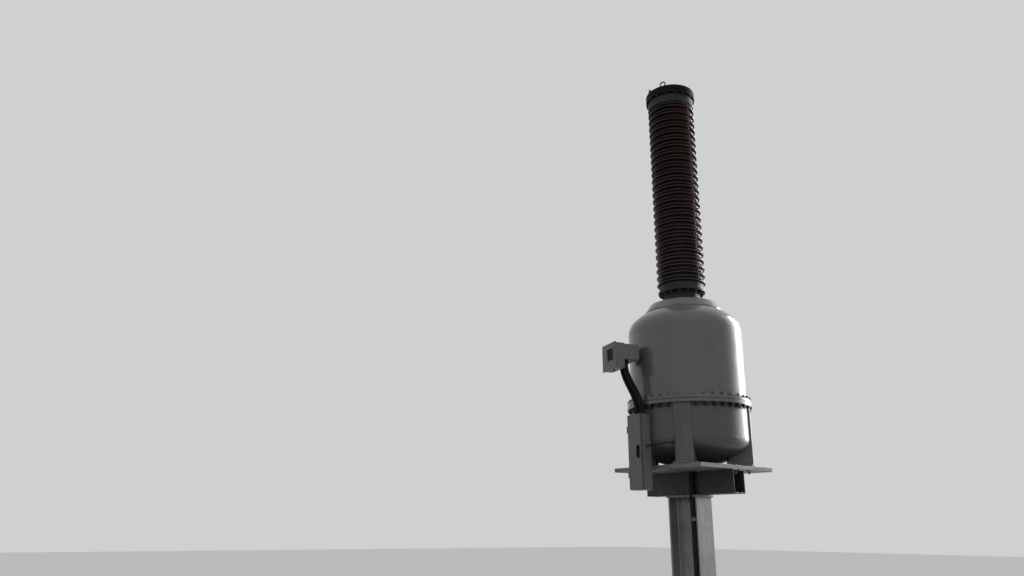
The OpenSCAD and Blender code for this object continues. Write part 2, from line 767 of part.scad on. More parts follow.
module gas_gauge() {
    color(paint_colour) at_angle(gauge_angle) {
        difference() {
            translate([tank_r - tank_t, 0, gauge_z]) rotate([0, 90, 0])
                cylinder(r = gauge_stem_r, h = gauge_stem_h + tank_t, $fn = 48);
            translate([0, 0, gauge_z - 2 * gauge_stem_r])
                cylinder(r = tank_r + weld_gap, h = 4 * gauge_stem_r);
        }
        translate([tank_r + gauge_stem_h, 0, gauge_z]) rotate([0, 90, 0])
            cylinder(r = gauge_r, h = gauge_body_h, $fn = 64);
    }
}

module gas_valves() {
    nut_r = valve_r + valve_nut_lip;
    color(steel_colour) difference() {
        union() {
            at_angle(valve_angle) translate([valve_end_r, 0, valve_z]) rotate([0, -90, 0]) {
                cylinder(r = valve_r, h = valve_end_r - tank_r + valve_root_h, $fn = 48);
                translate([0, 0, valve_nut_h / 2]) cylinder(r = nut_r, h = valve_nut_h, $fn = 6);
            }
            at_angle(drain_angle) translate([drain_r, 0, drain_z]) {
                cylinder(r = valve_r, h = drain_stem_h, $fn = 48);
                cylinder(r = nut_r, h = valve_nut_h, $fn = 6);
            }
        }
        tank_bottom_space();
    }
}

module gas_pipe() {
    side = cabinet_w / 2;
    r = cabinet_r + cabinet_d / 2;
    away = turned([0, 1], cabinet_angle, 0);
    inwards = turned([-1, 0], valve_angle, 0);
    from = turned([r, side], cabinet_angle, valve_z - valve_nut_h);
    to = turned([valve_end_r, 0], valve_angle, valve_z);
    course = [from, from + pipe_bend * away, to - pipe_bend * inwards, to];
    color(black_colour)
        tube([for (s = [0 : 10]) bezier(course, s / 10)], gas_pipe_d / 2, 8, away, inwards, [0, 0, 1]);
}

base_plate();
base_gussets();
column();
column_cap();
head_channel(-1);  // head_channel_left
head_channel(1);  // head_channel_right
table_plate();
leg(leg_angles[0]);  // leg_front_left
leg(leg_angles[1]);  // leg_front_right
leg(leg_angles[2]);  // leg_rear_right
leg(leg_angles[3]);  // leg_rear_left
bottom_dish();
shell(lower_shell_z, flange_z + lower_flange_t - lower_shell_z);  // lower_shell
flange(flange_z, lower_flange_t, flange_r);  // lower_flange
flange_gasket();
flange(upper_flange_z, upper_flange_t, flange_r - flange_step_w);  // upper_flange
shell(upper_flange_z, dome_z - upper_flange_z);  // upper_shell
top_dome();
dome_boss();
bushing_neck();
bushing_fitting();
insulator();
top_fitting();
top_cap();
lifting_eyes();
line_terminal();
terminal_box_neck();
terminal_box();
terminal_box_cover();
terminal_box_window();
cabinet_body();
cabinet_door();
box_glands();
cabinet_rails();
cabinet_brackets();
cabinet_hinges();
cabinet_glands();
door_handle();
box_conduits();
column_conduit();
conduit_clips();
gas_gauge();
gas_valves();
gas_pipe();
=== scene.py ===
import json
import math
import random

import bmesh
import bpy
from mathutils import Matrix, Vector


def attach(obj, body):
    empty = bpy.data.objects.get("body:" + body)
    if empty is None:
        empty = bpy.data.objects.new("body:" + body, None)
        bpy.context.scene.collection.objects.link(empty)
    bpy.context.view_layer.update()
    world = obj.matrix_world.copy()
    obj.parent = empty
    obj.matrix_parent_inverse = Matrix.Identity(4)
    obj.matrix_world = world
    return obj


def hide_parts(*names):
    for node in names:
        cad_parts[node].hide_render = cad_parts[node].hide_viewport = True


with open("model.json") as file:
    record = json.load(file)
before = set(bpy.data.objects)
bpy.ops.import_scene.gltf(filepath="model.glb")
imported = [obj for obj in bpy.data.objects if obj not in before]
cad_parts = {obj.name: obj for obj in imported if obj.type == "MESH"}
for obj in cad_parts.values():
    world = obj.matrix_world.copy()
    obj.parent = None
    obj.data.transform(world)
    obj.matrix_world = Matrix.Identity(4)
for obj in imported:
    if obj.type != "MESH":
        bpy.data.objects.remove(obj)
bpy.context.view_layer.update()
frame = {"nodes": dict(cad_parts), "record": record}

nodes = frame["nodes"]
scene = bpy.context.scene
fixedBody = "stand_and_tank"
doorBody = "door"
chance = random.Random(7)
# where the pieces stand round the tank's axis, in degrees
turns = {"box": 162, "cabinet": 171, "gauge": 45, "valve": 202, "drain": 283, "legs": [213, 303, 33, 123]}
legNames = ["leg_front_left", "leg_front_right", "leg_rear_right", "leg_rear_left"]
headNames = ["head_channel_left", "head_channel_right"]
upwards, downwards, alongX, alongY = (0, 0, 1), (0, 0, -1), (1, 0, 0), (0, 1, 0)
print("frame loaded:", len(nodes), "nodes")


# helpers for places

def outwards(angle):
    a = math.radians(angle)
    return Vector((math.cos(a), math.sin(a), 0))


def sideways(angle):
    a = math.radians(angle)
    return Vector((-math.sin(a), math.cos(a), 0))


def around(angle, radius, z, side=0.0):
    # a place given by its direction in degrees, its distance from the tank's axis and a sideways offset
    return outwards(angle) * radius + sideways(angle) * side + Vector((0, 0, z))


def facingOut(angle):
    # frame whose X points away from the tank's axis and whose Y points sideways
    return Matrix.Rotation(math.radians(angle), 4, "Z")


def measured(node, angle=0):
    # lowest and highest corner of a node in the frame that faces out at the angle
    back = facingOut(-angle)
    points = [back @ v.co for v in nodes[node].data.vertices]
    return [Vector([pick(p[k] for p in points) for k in range(3)]) for pick in (min, max)]


def placed(at, axis=upwards, turn=None):
    # matrix that takes +Z to the axis and +X near the turn direction
    z = Vector(axis).normalized()
    x = Vector(turn) if turn is not None else Vector((1, 0, 0) if abs(z.x) < 0.9 else (0, 1, 0))
    x = (x - z * x.dot(z)).normalized()
    return Matrix.Translation(Vector(at)) @ Matrix((x, z.cross(x), z)).transposed().to_4x4()


def ringPlaces(count, start=0.0):
    return [start + 360 * k / count for k in range(count)]


def curve(p, steps):
    # points on the curve that four places steer, from the first to the last
    return [p[0] * (1 - t) ** 3 + p[1] * 3 * t * (1 - t) ** 2 + p[2] * 3 * t * t * (1 - t) + p[3] * t ** 3
            for t in (k / steps for k in range(steps + 1))]


# helpers for shapes: each shape is (points, faces), and joined() makes one mesh of many

def moved(shape, matrix):
    points, faces = shape
    return [matrix @ Vector(p) for p in points], faces


def shifted(shape, offset):
    return moved(shape, Matrix.Translation(offset))


def allMoved(shapes, matrix):
    return [moved(shape, matrix) for shape in shapes]


def lathe(profile, steps):
    # outline of (radius, height) pairs turned round Z; a radius of 0 closes to a point
    points, faces, rows = [], [], []
    for r, z in profile:
        if r < 1e-7:
            rows.append([len(points)])
            points.append((0, 0, z))
        else:
            rows.append([len(points) + k for k in range(steps)])
            points += [(r * math.cos(2 * math.pi * k / steps), r * math.sin(2 * math.pi * k / steps), z)
                       for k in range(steps)]
    for a, b in zip(rows, rows[1:]):
        for k in range(steps):
            n = (k + 1) % steps
            if len(a) == 1 and len(b) > 1:
                faces.append((a[0], b[n], b[k]))
            elif len(b) == 1 and len(a) > 1:
                faces.append((a[k], a[n], b[0]))
            elif len(a) > 1:
                faces.append((a[k], a[n], b[n], b[k]))
    return points, faces


def closedLathe(profile, steps):
    return lathe([*profile, profile[0]], steps)


def band(inner, outer, low, high, steps):
    return closedLathe([(inner, low), (outer, low), (outer, high), (inner, high)], steps)


def hexagon(acrossFlats, h):
    # solid with six sides and a chamfer on top
    corner, chamfer = acrossFlats / math.sqrt(3), 0.12 * acrossFlats
    return lathe([(0, 0), (corner, 0), (corner, h - chamfer / 2), (corner - chamfer, h), (0, h)], 6)


def bar(x, y, z, edge=0.0015, segments=2):
    # block with rounded edges, centred in X and Y, standing on z = 0
    mesh = bmesh.new()
    bmesh.ops.create_cube(mesh, size=1)
    for v in mesh.verts:
        v.co = Vector((v.co.x * x, v.co.y * y, (v.co.z + 0.5) * z))
    if edge:
        bmesh.ops.bevel(mesh, geom=list(mesh.edges), offset=edge, segments=segments, profile=0.5,
                        affect="EDGES")
    mesh.verts.ensure_lookup_table()
    shape = [v.co.copy() for v in mesh.verts], [tuple(v.index for v in f.verts) for f in mesh.faces]
    mesh.free()
    return shape


def block(low, high, edge=0.0008, segments=1):
    # the same block between two corners
    size = [b - a for a, b in zip(low, high)]
    return shifted(bar(*size, edge, segments), ((low[0] + high[0]) / 2, (low[1] + high[1]) / 2, low[2]))


def frameRing(xLow, xHigh, yLow, yHigh, zLow, zHigh, rim, edge=0.0006):
    # four bars round a rectangle that faces along X, outside the given opening
    spans = [(yLow - rim, yHigh + rim, zLow - rim, zLow), (yLow - rim, yHigh + rim, zHigh, zHigh + rim),
             (yLow - rim, yLow, zLow, zHigh), (yHigh, yHigh + rim, zLow, zHigh)]
    return [block((xLow, y0, z0), (xHigh, y1, z1), edge) for y0, y1, z0, z1 in spans]


def prism(outline, h):
    # flat outline of (x, y) pairs, anticlockwise, raised from z = 0 to h
    count = len(outline)
    points = [(x, y, 0) for x, y in outline] + [(x, y, h) for x, y in outline]
    faces = [tuple(reversed(range(count))), tuple(range(count, 2 * count))]
    faces += [(k, (k + 1) % count, (k + 1) % count + count, k + count) for k in range(count)]
    return points, faces


def sweep(line, radius, sides=8, closed=False):
    # round tube along points; radius is a number or one for each point
    line = [Vector(p) for p in line]
    count = len(line)
    radii = radius if isinstance(radius, list) else [radius] * count
    points, faces = [], []
    previous = None
    for k, p in enumerate(line):
        before = line[(k - 1) % count] if closed or k else p
        after = line[(k + 1) % count] if closed or k < count - 1 else p
        ahead = (after - before).normalized()
        if previous is None:
            previous = ahead.orthogonal().normalized()
        previous = (previous - ahead * previous.dot(ahead)).normalized()
        other = ahead.cross(previous)
        for s in range(sides):
            a = 2 * math.pi * s / sides
            points.append(p + (previous * math.cos(a) + other * math.sin(a)) * radii[k])
    for k in range(count if closed else count - 1):
        j = (k + 1) % count
        for s in range(sides):
            n = (s + 1) % sides
            faces.append((k * sides + s, k * sides + n, j * sides + n, j * sides + s))
    if not closed:
        faces += [tuple(reversed(range(sides))), tuple(range((count - 1) * sides, count * sides))]
    return points, faces


def addObject(name, data):
    thing = bpy.data.objects.new(name, data)
    scene.collection.objects.link(thing)
    return thing


def joined(name, shapes, slot, material=None, body=fixedBody, stands=(), turn=None, sharp=35):
    # one mesh of many shapes, turned into place, in its slot's finish unless another is given
    points, faces = [], []
    if turn is not None:
        shapes = allMoved(shapes, turn)
    for shapePoints, shapeFaces in shapes:
        offset = len(points)
        points += [tuple(p) for p in shapePoints]
        faces += [tuple(i + offset for i in face) for face in shapeFaces]
    mesh = bpy.data.meshes.new(name)
    mesh.from_pydata(points, [], faces)
    mesh.validate()
    mesh.shade_smooth()
    mesh.set_sharp_from_angle(angle=math.radians(sharp))
    mesh.materials.append(material or looks[slot])
    piece = addObject(name, mesh)
    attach(piece, body)
    if stands:
        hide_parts(*stands)


# helpers for materials

def feed(tree, node, inputs):
    # a value or another node's output for each input, by the input's name or number
    for key, value in inputs.items():
        if isinstance(value, bpy.types.NodeSocket):
            tree.links.new(value, node.inputs[key])
        elif value is not None:
            node.inputs[key].default_value = value
    return node


def addNode(tree, kind, inputs):
    return feed(tree, tree.nodes.new(kind), inputs)


class Finish:
    # a node-based material with short names for the nodes it uses most
    def __init__(self, name):
        self.material = bpy.data.materials.new(name)
        self.material.use_nodes = True
        self.tree = self.material.node_tree
        self.place = self.tree.nodes.new("ShaderNodeTexCoord").outputs["Object"]
        self.normal = self.tree.nodes.new("ShaderNodeNewGeometry").outputs["Normal"]

    def shaded(self, inputs):
        feed(self.tree, self.tree.nodes["Principled BSDF"], inputs)
        return self.material

    def noise(self, scale, detail=4.0, rough=0.55, stretch=None):
        place = self.place
        if stretch:
            mapping = addNode(self.tree, "ShaderNodeMapping", {"Vector": place, "Scale": stretch})
            place = mapping.outputs["Vector"]
        inputs = {"Vector": place, "Scale": scale, "Detail": detail, "Roughness": rough}
        return addNode(self.tree, "ShaderNodeTexNoise", inputs).outputs["Fac"]

    def cells(self, scale, output="Color"):
        node = addNode(self.tree, "ShaderNodeTexVoronoi", {"Vector": self.place, "Scale": scale})
        return node.outputs[output]

    def ramp(self, fac, low, high):
        # low and high are (place, value) with a number or a colour for the value
        node = addNode(self.tree, "ShaderNodeValToRGB", {"Fac": fac})
        for mark, (at, value) in zip(node.color_ramp.elements, (low, high)):
            mark.position = at
            mark.color = (value, value, value, 1) if isinstance(value, (int, float)) else (*value, 1)
        return node.outputs["Color"]

    def clouds(self, low, high, *noise):
        # patches of noise that go from the low value to the high one
        return self.ramp(self.noise(*noise), low, high)

    def mix(self, fac, a, b, kind="MIX"):
        node = self.tree.nodes.new("ShaderNodeMix")
        node.data_type = "RGBA"
        node.blend_type = kind
        a, b = [(*value, 1) if isinstance(value, tuple) else value for value in (a, b)]
        return feed(self.tree, node, {"Factor": fac, 6: a, 7: b}).outputs[2]    # the colour sockets

    def maths(self, kind, a, b):
        node = addNode(self.tree, "ShaderNodeMath", {0: a, 1: b})
        node.operation = kind
        return node.outputs[0]

    def times(self, a, b):
        return self.maths("MULTIPLY", a, b)

    def stained(self, colour, mask, amount, tint):
        return self.mix(self.times(mask, amount), colour, tint)

    def likeness(self, a, b):
        # how far two directions agree, from -1 to 1
        node = addNode(self.tree, "ShaderNodeVectorMath", {0: a, 1: b})
        node.operation = "DOT_PRODUCT"
        return node.outputs["Value"]

    def onTop(self, start, end=0.95, full=1.0):
        # where dust lies: 0 on steep faces, rising to the full value on level ones
        return self.ramp(self.likeness(self.normal, upwards), (start, 0.0), (end, full))

    def edges(self, radius):
        # 1 on outer and inner corners that are sharper than the radius, fading to 0 on flat stretches
        bevel = addNode(self.tree, "ShaderNodeBevel", {"Radius": radius})
        bevel.samples = 4
        return self.ramp(self.likeness(bevel.outputs["Normal"], self.normal), (0.76, 1.0), (0.988, 0.0))

    def height(self, low, high):
        # 0 below the lower height, 1 above the higher one
        split = addNode(self.tree, "ShaderNodeSeparateXYZ", {0: self.place})
        inputs = {"Value": split.outputs["Z"], "From Min": low, "From Max": high}
        return addNode(self.tree, "ShaderNodeMapRange", inputs).outputs["Result"]

    def bump(self, height, distance, strength, under=None):
        inputs = {"Distance": distance, "Strength": strength, "Height": height, "Normal": under}
        return addNode(self.tree, "ShaderNodeBump", inputs).outputs["Normal"]


# sizes of the tank, which the paint and most pieces need
shellHigh = measured("upper_shell")[1]
tankR, domeZ = shellHigh.x, shellHigh.z
tankLow = measured("lower_shell")[0]
flangeLow = measured("lower_flange")[0]
upperFlangeHigh = measured("upper_flange")[1]


def galvanised(name, look):
    # zinc with faint crystals, dull patches, drip runs, specks of rust, dusty ledges and worn corners
    f = Finish(name)
    crystals = f.ramp(f.cells(look["crystalScale"]), (0.0, 0.84), (1.0, 1.12))
    patches = f.clouds((0.28, look["dull"]), (0.72, look["bright"]), look["patchScale"], 6, 0.6)
    colour = f.mix(1.0, patches, crystals, "MULTIPLY")
    runs = f.clouds((0.50, 0.0), (0.74, 1.0), 9, 4, 0.6, (3.2, 3.2, 0.16))
    colour = f.stained(colour, runs, look["runs"], look["runColour"])
    rust = f.clouds((0.66, 0.0), (0.76, 1.0), 17, 6, 0.7)
    colour = f.stained(colour, rust, look["rust"], look["rustColour"])
    worn = f.clouds((0.35, 0.1), (0.65, 0.75), 30)
    colour = f.stained(colour, f.edges(look["cornerR"]), worn, look["cornerColour"])
    dust = f.clouds((0.3, 0.25), (0.7, 0.8), 14, 5)
    colour = f.stained(colour, f.onTop(0.55), dust, look["dustColour"])
    grain = f.bump(f.noise(420, 3), 0.0004, 0.35)
    return f.shaded({"Base Color": colour, "Metallic": look["metal"],
                     "Roughness": f.clouds((0.3, 0.42), (0.7, 0.64), 22),
                     "Normal": f.bump(f.cells(look["crystalScale"], "Distance"), 0.0008, 0.10, grain)})


def underJoint(f, colour, look):
    # below the bolted joint: rusty streaks, paint that is duller and darker, and a near-black band of
    # painted shadow just under the flange, between the nuts
    joint = flangeLow.z
    under = f.maths("SUBTRACT", 1.0, f.height(joint, joint + 0.002))
    below = f.times(f.height(joint - look["bleed"], joint), under)
    streaks = f.clouds((0.53, 0.0), (0.68, 1.0), 34, 3, 0.5, (1.0, 1.0, 0.03))
    colour = f.stained(colour, f.times(below, streaks), look["streaks"], look["bleedColour"])
    colour = f.stained(colour, under, 1 - look["lower"], look["lowerColour"])
    # a near-black band just under the flange: the flange's shadow on the shell, painted
    inFlangeShadow = f.times(f.height(joint - look["flangeShadow"], joint - 0.8 * look["flangeShadow"]), under)
    return f.stained(colour, inFlangeShadow, f.clouds((0.3, 0.85), (0.7, 0.98), 40), look["flangeShadowColour"]), under


def enamel(name, look):
    # sprayed paint over steel: faint orange peel, chalky patches, dust above, dirty runs, chipped corners
    f = Finish(name)
    colour = f.clouds((0.3, look["shade"]), (0.7, look["light"]), 1.9, 5, 0.6)
    chalk = f.clouds((0.48, 0.0), (0.80, 1.0), 5.5, 6, 0.65, (1.0, 1.0, 0.35))
    colour = f.stained(colour, chalk, look["chalk"], look["chalkColour"])
    runs = f.clouds((0.50, 0.0), (0.80, 1.0), 8, 5, 0.6, (2.6, 2.6, 0.09))
    colour = f.stained(colour, runs, look["runs"], look["runColour"])
    rough = f.clouds((0.3, look["smooth"]), (0.7, look["rough"]), 6, 5)
    coat = look["coat"]
    if "bleed" in look:
        colour, under = underJoint(f, colour, look)
        rough = f.maths("ADD", rough, f.times(under, look["lowerRough"]))
        coat = f.maths("SUBTRACT", coat, f.times(under, coat - look["lowerCoat"]))
    specks = f.clouds((0.66, 0.0), (0.72, 1.0), 95, 2, 0.4)
    colour = f.stained(colour, specks, look["specks"], look["runColour"])
    dusty = f.times(f.onTop(0.35), f.clouds((0.30, 0.15), (0.75, look["dust"]), 9, 6, 0.65))
    colour = f.mix(dusty, colour, look["dustColour"])
    chips = f.times(f.edges(look["chipR"]), f.clouds((0.50, 0.0), (0.60, 1.0), 55, 5, 0.6))
    colour = f.stained(colour, chips, look["chips"], look["chipColour"])
    waves = f.bump(f.noise(160, 2, 0.4), 0.0005, look["peel"])
    return f.shaded({"Base Color": colour, "Roughness": f.mix(dusty, rough, (0.7, 0.7, 0.7)),
                     "Coat Weight": coat, "Coat Roughness": look["coatRough"], "IOR": 1.5,
                     "Normal": f.bump(f.noise(2.6, 2), 0.004, look["wave"], waves)})


def glaze(name, look):
    # fired brown glaze, thinner in places, with soot and with dust on the sheds' upper sides
    f = Finish(name)
    colour = f.clouds((0.3, look["dark"]), (0.7, look["brown"]), 7, 5)
    colour = f.mix(f.clouds((0.45, 0.0), (0.75, 0.30), 60, 3), colour, look["thin"])
    dusty = f.times(f.onTop(0.15, 0.85), f.clouds((0.25, 0.15), (0.75, look["dust"]), 16, 5, 0.6))
    soot = f.clouds((0.5, 0.0), (0.85, 0.5), 11, 4, 0.6, (1.6, 1.6, 0.5))
    colour = f.mix(dusty, f.mix(soot, colour, look["soot"]), look["dustColour"])
    return f.shaded({"Base Color": colour, "Roughness": f.mix(dusty, (0.36, 0.36, 0.36), (0.70, 0.70, 0.70)),
                     "Coat Weight": 0.12, "Coat Roughness": 0.20, "IOR": 1.5, "Specular IOR Level": 0.32,
                     "Normal": f.bump(f.noise(45, 2), 0.0012, 0.12)})


def castMetal(name, look):
    # sand-cast and weathered: grainy, with darker stains
    f = Finish(name)
    colour = f.clouds((0.3, look["shade"]), (0.7, look["light"]), 12, 6, 0.65)
    stains = f.clouds((0.55, 0.0), (0.80, 1.0), 5, 5, 0.6, (2.0, 2.0, 0.5))
    return f.shaded({"Base Color": f.stained(colour, stains, look["stains"], look["stainColour"]),
                     "Metallic": look["metal"], "Specular IOR Level": look["gloss"],
                     "Roughness": f.clouds((0.3, look["smooth"]), (0.7, look["rough"]), 30),
                     "Normal": f.bump(f.noise(260, 4, 0.6), 0.0008, look["grain"])})


def rustyBolt(name, look):
    # fasteners that differ in their mix of dull zinc and brown rust
    f = Finish(name)
    bare = f.clouds((0.3, look["dull"]), (0.7, look["bright"]), 24)
    rust = f.clouds((0.3, look["rustDark"]), (0.7, look["rustLight"]), 120, 4, 0.65)
    patch = f.clouds((look["rustFrom"], 0.0), (look["rustFrom"] + 0.12, 1.0), 9.5, 3, 0.5)
    spots = f.clouds((0.42, 0.0), (0.60, 1.0), 150, 4, 0.6)
    return f.shaded({"Base Color": f.stained(bare, patch, spots, rust), "Metallic": look["metal"],
                     "Roughness": f.clouds((0.3, 0.45), (0.7, 0.75), 80, 3),
                     "Normal": f.bump(f.noise(500, 3), 0.0004, 0.5)})


def polymer(name, look):
    # moulded plastic or rubber, faded in patches, with dust on top
    f = Finish(name)
    colour = f.clouds((0.3, look["dark"]), (0.7, look["faded"]), 20, 5)
    return f.shaded({"Base Color": f.mix(f.onTop(0.4, full=look["dust"]), colour, look["dustColour"]),
                     "Specular IOR Level": look["gloss"],
                     "Roughness": f.clouds((0.3, look["smooth"]), (0.7, look["rough"]), 40),
                     "Normal": f.bump(f.noise(380, 3), 0.0004, 0.3)})


def darkGlass(name, look):
    # glass with nothing behind it, its colour near black as painted shade of the box's dark inside, with a
    # haze of dirt
    f = Finish(name)
    return f.shaded({"Base Color": f.clouds((0.35, look["dark"]), (0.7, look["haze"]), 18),
                     "Roughness": f.clouds((0.4, 0.06), (0.8, 0.22), 26, 5), "IOR": 1.3,
                     "Specular IOR Level": 0.10, "Normal": f.bump(f.noise(8, 2), 0.002, 0.08)})


dustGrey = (0.30, 0.285, 0.26)
zinc = {
    "crystalScale": 62, "patchScale": 3.2, "dull": (0.150, 0.155, 0.159), "bright": (0.235, 0.241, 0.246),
    "metal": 0.30, "runs": 0.45, "runColour": (0.098, 0.096, 0.093), "dustColour": dustGrey, "rust": 0.25,
    "rustColour": (0.19, 0.105, 0.06), "cornerR": 0.006, "cornerColour": (0.38, 0.38, 0.38)}
boxEnamel = {
    "shade": (0.140, 0.142, 0.142), "light": (0.176, 0.178, 0.177), "chalk": 0.35,
    "chalkColour": (0.24, 0.24, 0.23), "runs": 0.28, "runColour": (0.088, 0.085, 0.078), "specks": 0.2,
    "dust": 0.6, "dustColour": dustGrey, "smooth": 0.40, "rough": 0.52, "coat": 0.10, "coatRough": 0.2,
    "peel": 0.14, "wave": 0.10, "chipR": 0.005, "chips": 0.8, "chipColour": (0.34, 0.32, 0.30)}
cabinetEnamel = {
    **boxEnamel, "shade": (0.130, 0.133, 0.142), "light": (0.162, 0.165, 0.174), "chalk": 0.3,
    "chalkColour": (0.22, 0.22, 0.225), "runs": 0.26, "runColour": (0.088, 0.085, 0.082),
    "chipColour": (0.32, 0.31, 0.29)}
# bleed, streaks, lower and the painted shadow just under the flange are about the paint below the main joint
tankEnamel = {
    **boxEnamel, "shade": (0.101, 0.100, 0.109), "light": (0.124, 0.123, 0.133),
    "chalkColour": (0.160, 0.159, 0.167), "runs": 0.30, "runColour": (0.064, 0.062, 0.062), "dust": 0.5,
    "dustColour": (0.24, 0.23, 0.215), "smooth": 0.30, "rough": 0.42, "coat": 0.60, "coatRough": 0.12,
    "peel": 0.08, "wave": 0.04, "chipR": 0.006, "chips": 0.7, "chipColour": (0.30, 0.29, 0.28),
    "bleed": 0.30, "bleedColour": (0.085, 0.062, 0.048), "streaks": 0.55, "flangeShadow": 0.044,
    "flangeShadowColour": (0.007, 0.0065, 0.0065), "lower": 0.80, "lowerColour": (0.012, 0.012, 0.013),
    "lowerCoat": 0.22, "lowerRough": 0.14}
# what the moulded finishes have in common, and the cast ones
moulded = {"dust": 0.2, "dustColour": dustGrey, "gloss": 0.4, "smooth": 0.38, "rough": 0.5}
cast = {"stains": 0.5, "gloss": 0.4, "metal": 0.1, "smooth": 0.34, "rough": 0.5, "grain": 0.5}
zincKeys = ("dull", "bright", "runColour", "cornerColour")
paintKeys = ("shade", "light", "chalkColour")


def toned(look, factor, keys):
    # the same look with some of its colours lighter or darker
    return {**look, **{key: tuple(c * factor for c in look[key]) for key in keys}}


looks = {
    "galvanised_steel": galvanised("galvanisedSteel", zinc),
    "tank_paint": enamel("tankEnamel", tankEnamel),
    "box_paint": enamel("boxEnamel", boxEnamel),
    "cabinet_paint": enamel("cabinetEnamel", cabinetEnamel),
    "porcelain": glaze("brownGlaze", {
        "dark": (0.023, 0.0095, 0.0095), "brown": (0.046, 0.0195, 0.0175), "thin": (0.095, 0.050, 0.037),
        "soot": (0.011, 0.007, 0.008), "dust": 0.5, "dustColour": (0.150, 0.112, 0.084)}),
    "bushing_metal": castMetal("castFitting", {
        **cast, "shade": (0.024, 0.024, 0.025), "light": (0.048, 0.048, 0.050), "stains": 0.7,
        "stainColour": (0.018, 0.017, 0.017), "gloss": 0.22, "smooth": 0.42, "rough": 0.62}),
    "weathered_metal": castMetal("weatheredCap", {
        **cast, "shade": (0.005, 0.005, 0.0062), "light": (0.011, 0.011, 0.0135), "stains": 0.6,
        "stainColour": (0.006, 0.006, 0.006), "gloss": 0.08, "metal": 0.0, "smooth": 0.45, "rough": 0.68}),
    "window_glass": darkGlass("windowGlass", {
        "dark": (0.003, 0.0035, 0.004), "haze": (0.008, 0.0085, 0.010)}),
    "black_polymer": polymer("blackPolymer", {
        "dark": (0.006, 0.006, 0.0065), "faded": (0.013, 0.013, 0.014), "dust": 0.30, "gloss": 0.16,
        "dustColour": (0.09, 0.086, 0.08), "smooth": 0.45, "rough": 0.66}),
    "terminal_blocks": polymer("terminalGrey", {
        **moulded, "dark": (0.33, 0.325, 0.30), "faded": (0.42, 0.41, 0.38)}),
}
boltZinc = rustyBolt("standBolts", {
    "dull": (0.13, 0.133, 0.136), "bright": (0.22, 0.224, 0.228), "rustDark": (0.060, 0.036, 0.024),
    "rustLight": (0.12, 0.070, 0.045), "rustFrom": 0.60, "metal": 0.4})
# nuts and bolts under the flange, the fitting and the cap: rustier, and their zinc near black as painted
# shade
boltRustAndShade = rustyBolt("rustyShadedBolts", {
    "dull": (0.014, 0.014, 0.014), "bright": (0.032, 0.031, 0.030), "rustDark": (0.022, 0.012, 0.009),
    "rustLight": (0.060, 0.032, 0.021), "rustFrom": 0.46, "metal": 0.1})
cementGrey = castMetal("cementJoint", {
    **cast, "shade": (0.13, 0.125, 0.118), "light": (0.21, 0.20, 0.19), "stainColour": (0.07, 0.066, 0.06),
    "metal": 0.0, "gloss": 0.3, "smooth": 0.7, "rough": 0.9, "grain": 0.8})
ringLight = castMetal("machinedRing", {
    **cast, "shade": (0.09, 0.092, 0.094), "light": (0.17, 0.172, 0.175), "metal": 0.4,
    "stainColour": (0.05, 0.048, 0.046), "grain": 0.3})
ringDark = castMetal("castRing", {
    **cast, "shade": (0.035, 0.035, 0.036), "light": (0.070, 0.070, 0.072), "gloss": 0.3,
    "stainColour": (0.02, 0.02, 0.02), "smooth": 0.40, "rough": 0.55, "grain": 0.4})
brass = castMetal("agedBrass", {
    **cast, "shade": (0.085, 0.066, 0.040), "light": (0.16, 0.125, 0.075), "stains": 0.6,
    "stainColour": (0.05, 0.042, 0.030), "metal": 0.6, "rough": 0.52, "grain": 0.25})
dialWhite = polymer("dialWhite", {
    **moulded, "dark": (0.60, 0.60, 0.58), "faded": (0.68, 0.68, 0.66), "dust": 0.1, "gloss": 0.5,
    "smooth": 0.4})
terminalBlue = polymer("terminalBlue", {
    **moulded, "dark": (0.045, 0.12, 0.26), "faded": (0.06, 0.16, 0.33)})
terminalGreen = polymer("terminalGreen", {
    **moulded, "dark": (0.06, 0.20, 0.05), "faded": (0.10, 0.28, 0.07)})
# the box's paint made darker for the cover and its window frame, and the cabinet's for the door and its
# ribs: painted shade
coverPaintShaded = enamel("coverEnamelShaded", toned(boxEnamel, 0.74, paintKeys))
doorPaintShaded = enamel("doorEnamelShaded", toned(cabinetEnamel, 0.80, paintKeys))

# every imported node gets the finish of its slot, or a lighter or darker copy of it as painted light and
# shade (column lighter; cover, door and legs darker; head channels under the table much darker), and some
# get softened edges
litAndShadedLooks = {"terminal_box_cover": coverPaintShaded, "cabinet_door": doorPaintShaded,
            "column": galvanised("columnZincLit", toned(zinc, 1.40, zincKeys)),
            **dict.fromkeys(legNames, galvanised("legZincShaded", toned(zinc, 0.62, zincKeys))),
            **dict.fromkeys(headNames, galvanised("headZincShaded", toned(zinc, 0.20, zincKeys)))}
softEdges = {0.001: ["cabinet_body"], 0.0012: ["cabinet_door"], 0.0025: ["column_cap", "lower_flange"],
             0.0015: [*legNames, "terminal_box_cover", "cabinet_brackets", "door_handle"],
             0.002: [*headNames, "base_gussets", "column", "line_terminal"], 0.0035: ["terminal_box"],
             0.003: ["base_plate", "table_plate", "upper_flange"], 0.004: ["bushing_fitting", "top_fitting"]}
for part in frame["record"]["subparts"]:
    node = nodes[part["node"]]
    node.data.materials.clear()
    node.data.materials.append(litAndShadedLooks.get(part["node"]) or looks[part["material_slot"]])
for width, names in softEdges.items():
    for node in (nodes[name] for name in names):
        if "custom_normal" in node.data.attributes:
            node.data.attributes.remove(node.data.attributes["custom_normal"])
        node.data.shade_smooth()
        weld = node.modifiers.new("joinCorners", "WELD")
        weld.merge_threshold = 0.00002
        bevel = node.modifiers.new("softEdge", "BEVEL")
        bevel.width = width
        bevel.segments = 2
        bevel.limit_method = "ANGLE"
        bevel.angle_limit = math.radians(35)
        bevel.harden_normals = True
print("finishes made")


# fasteners

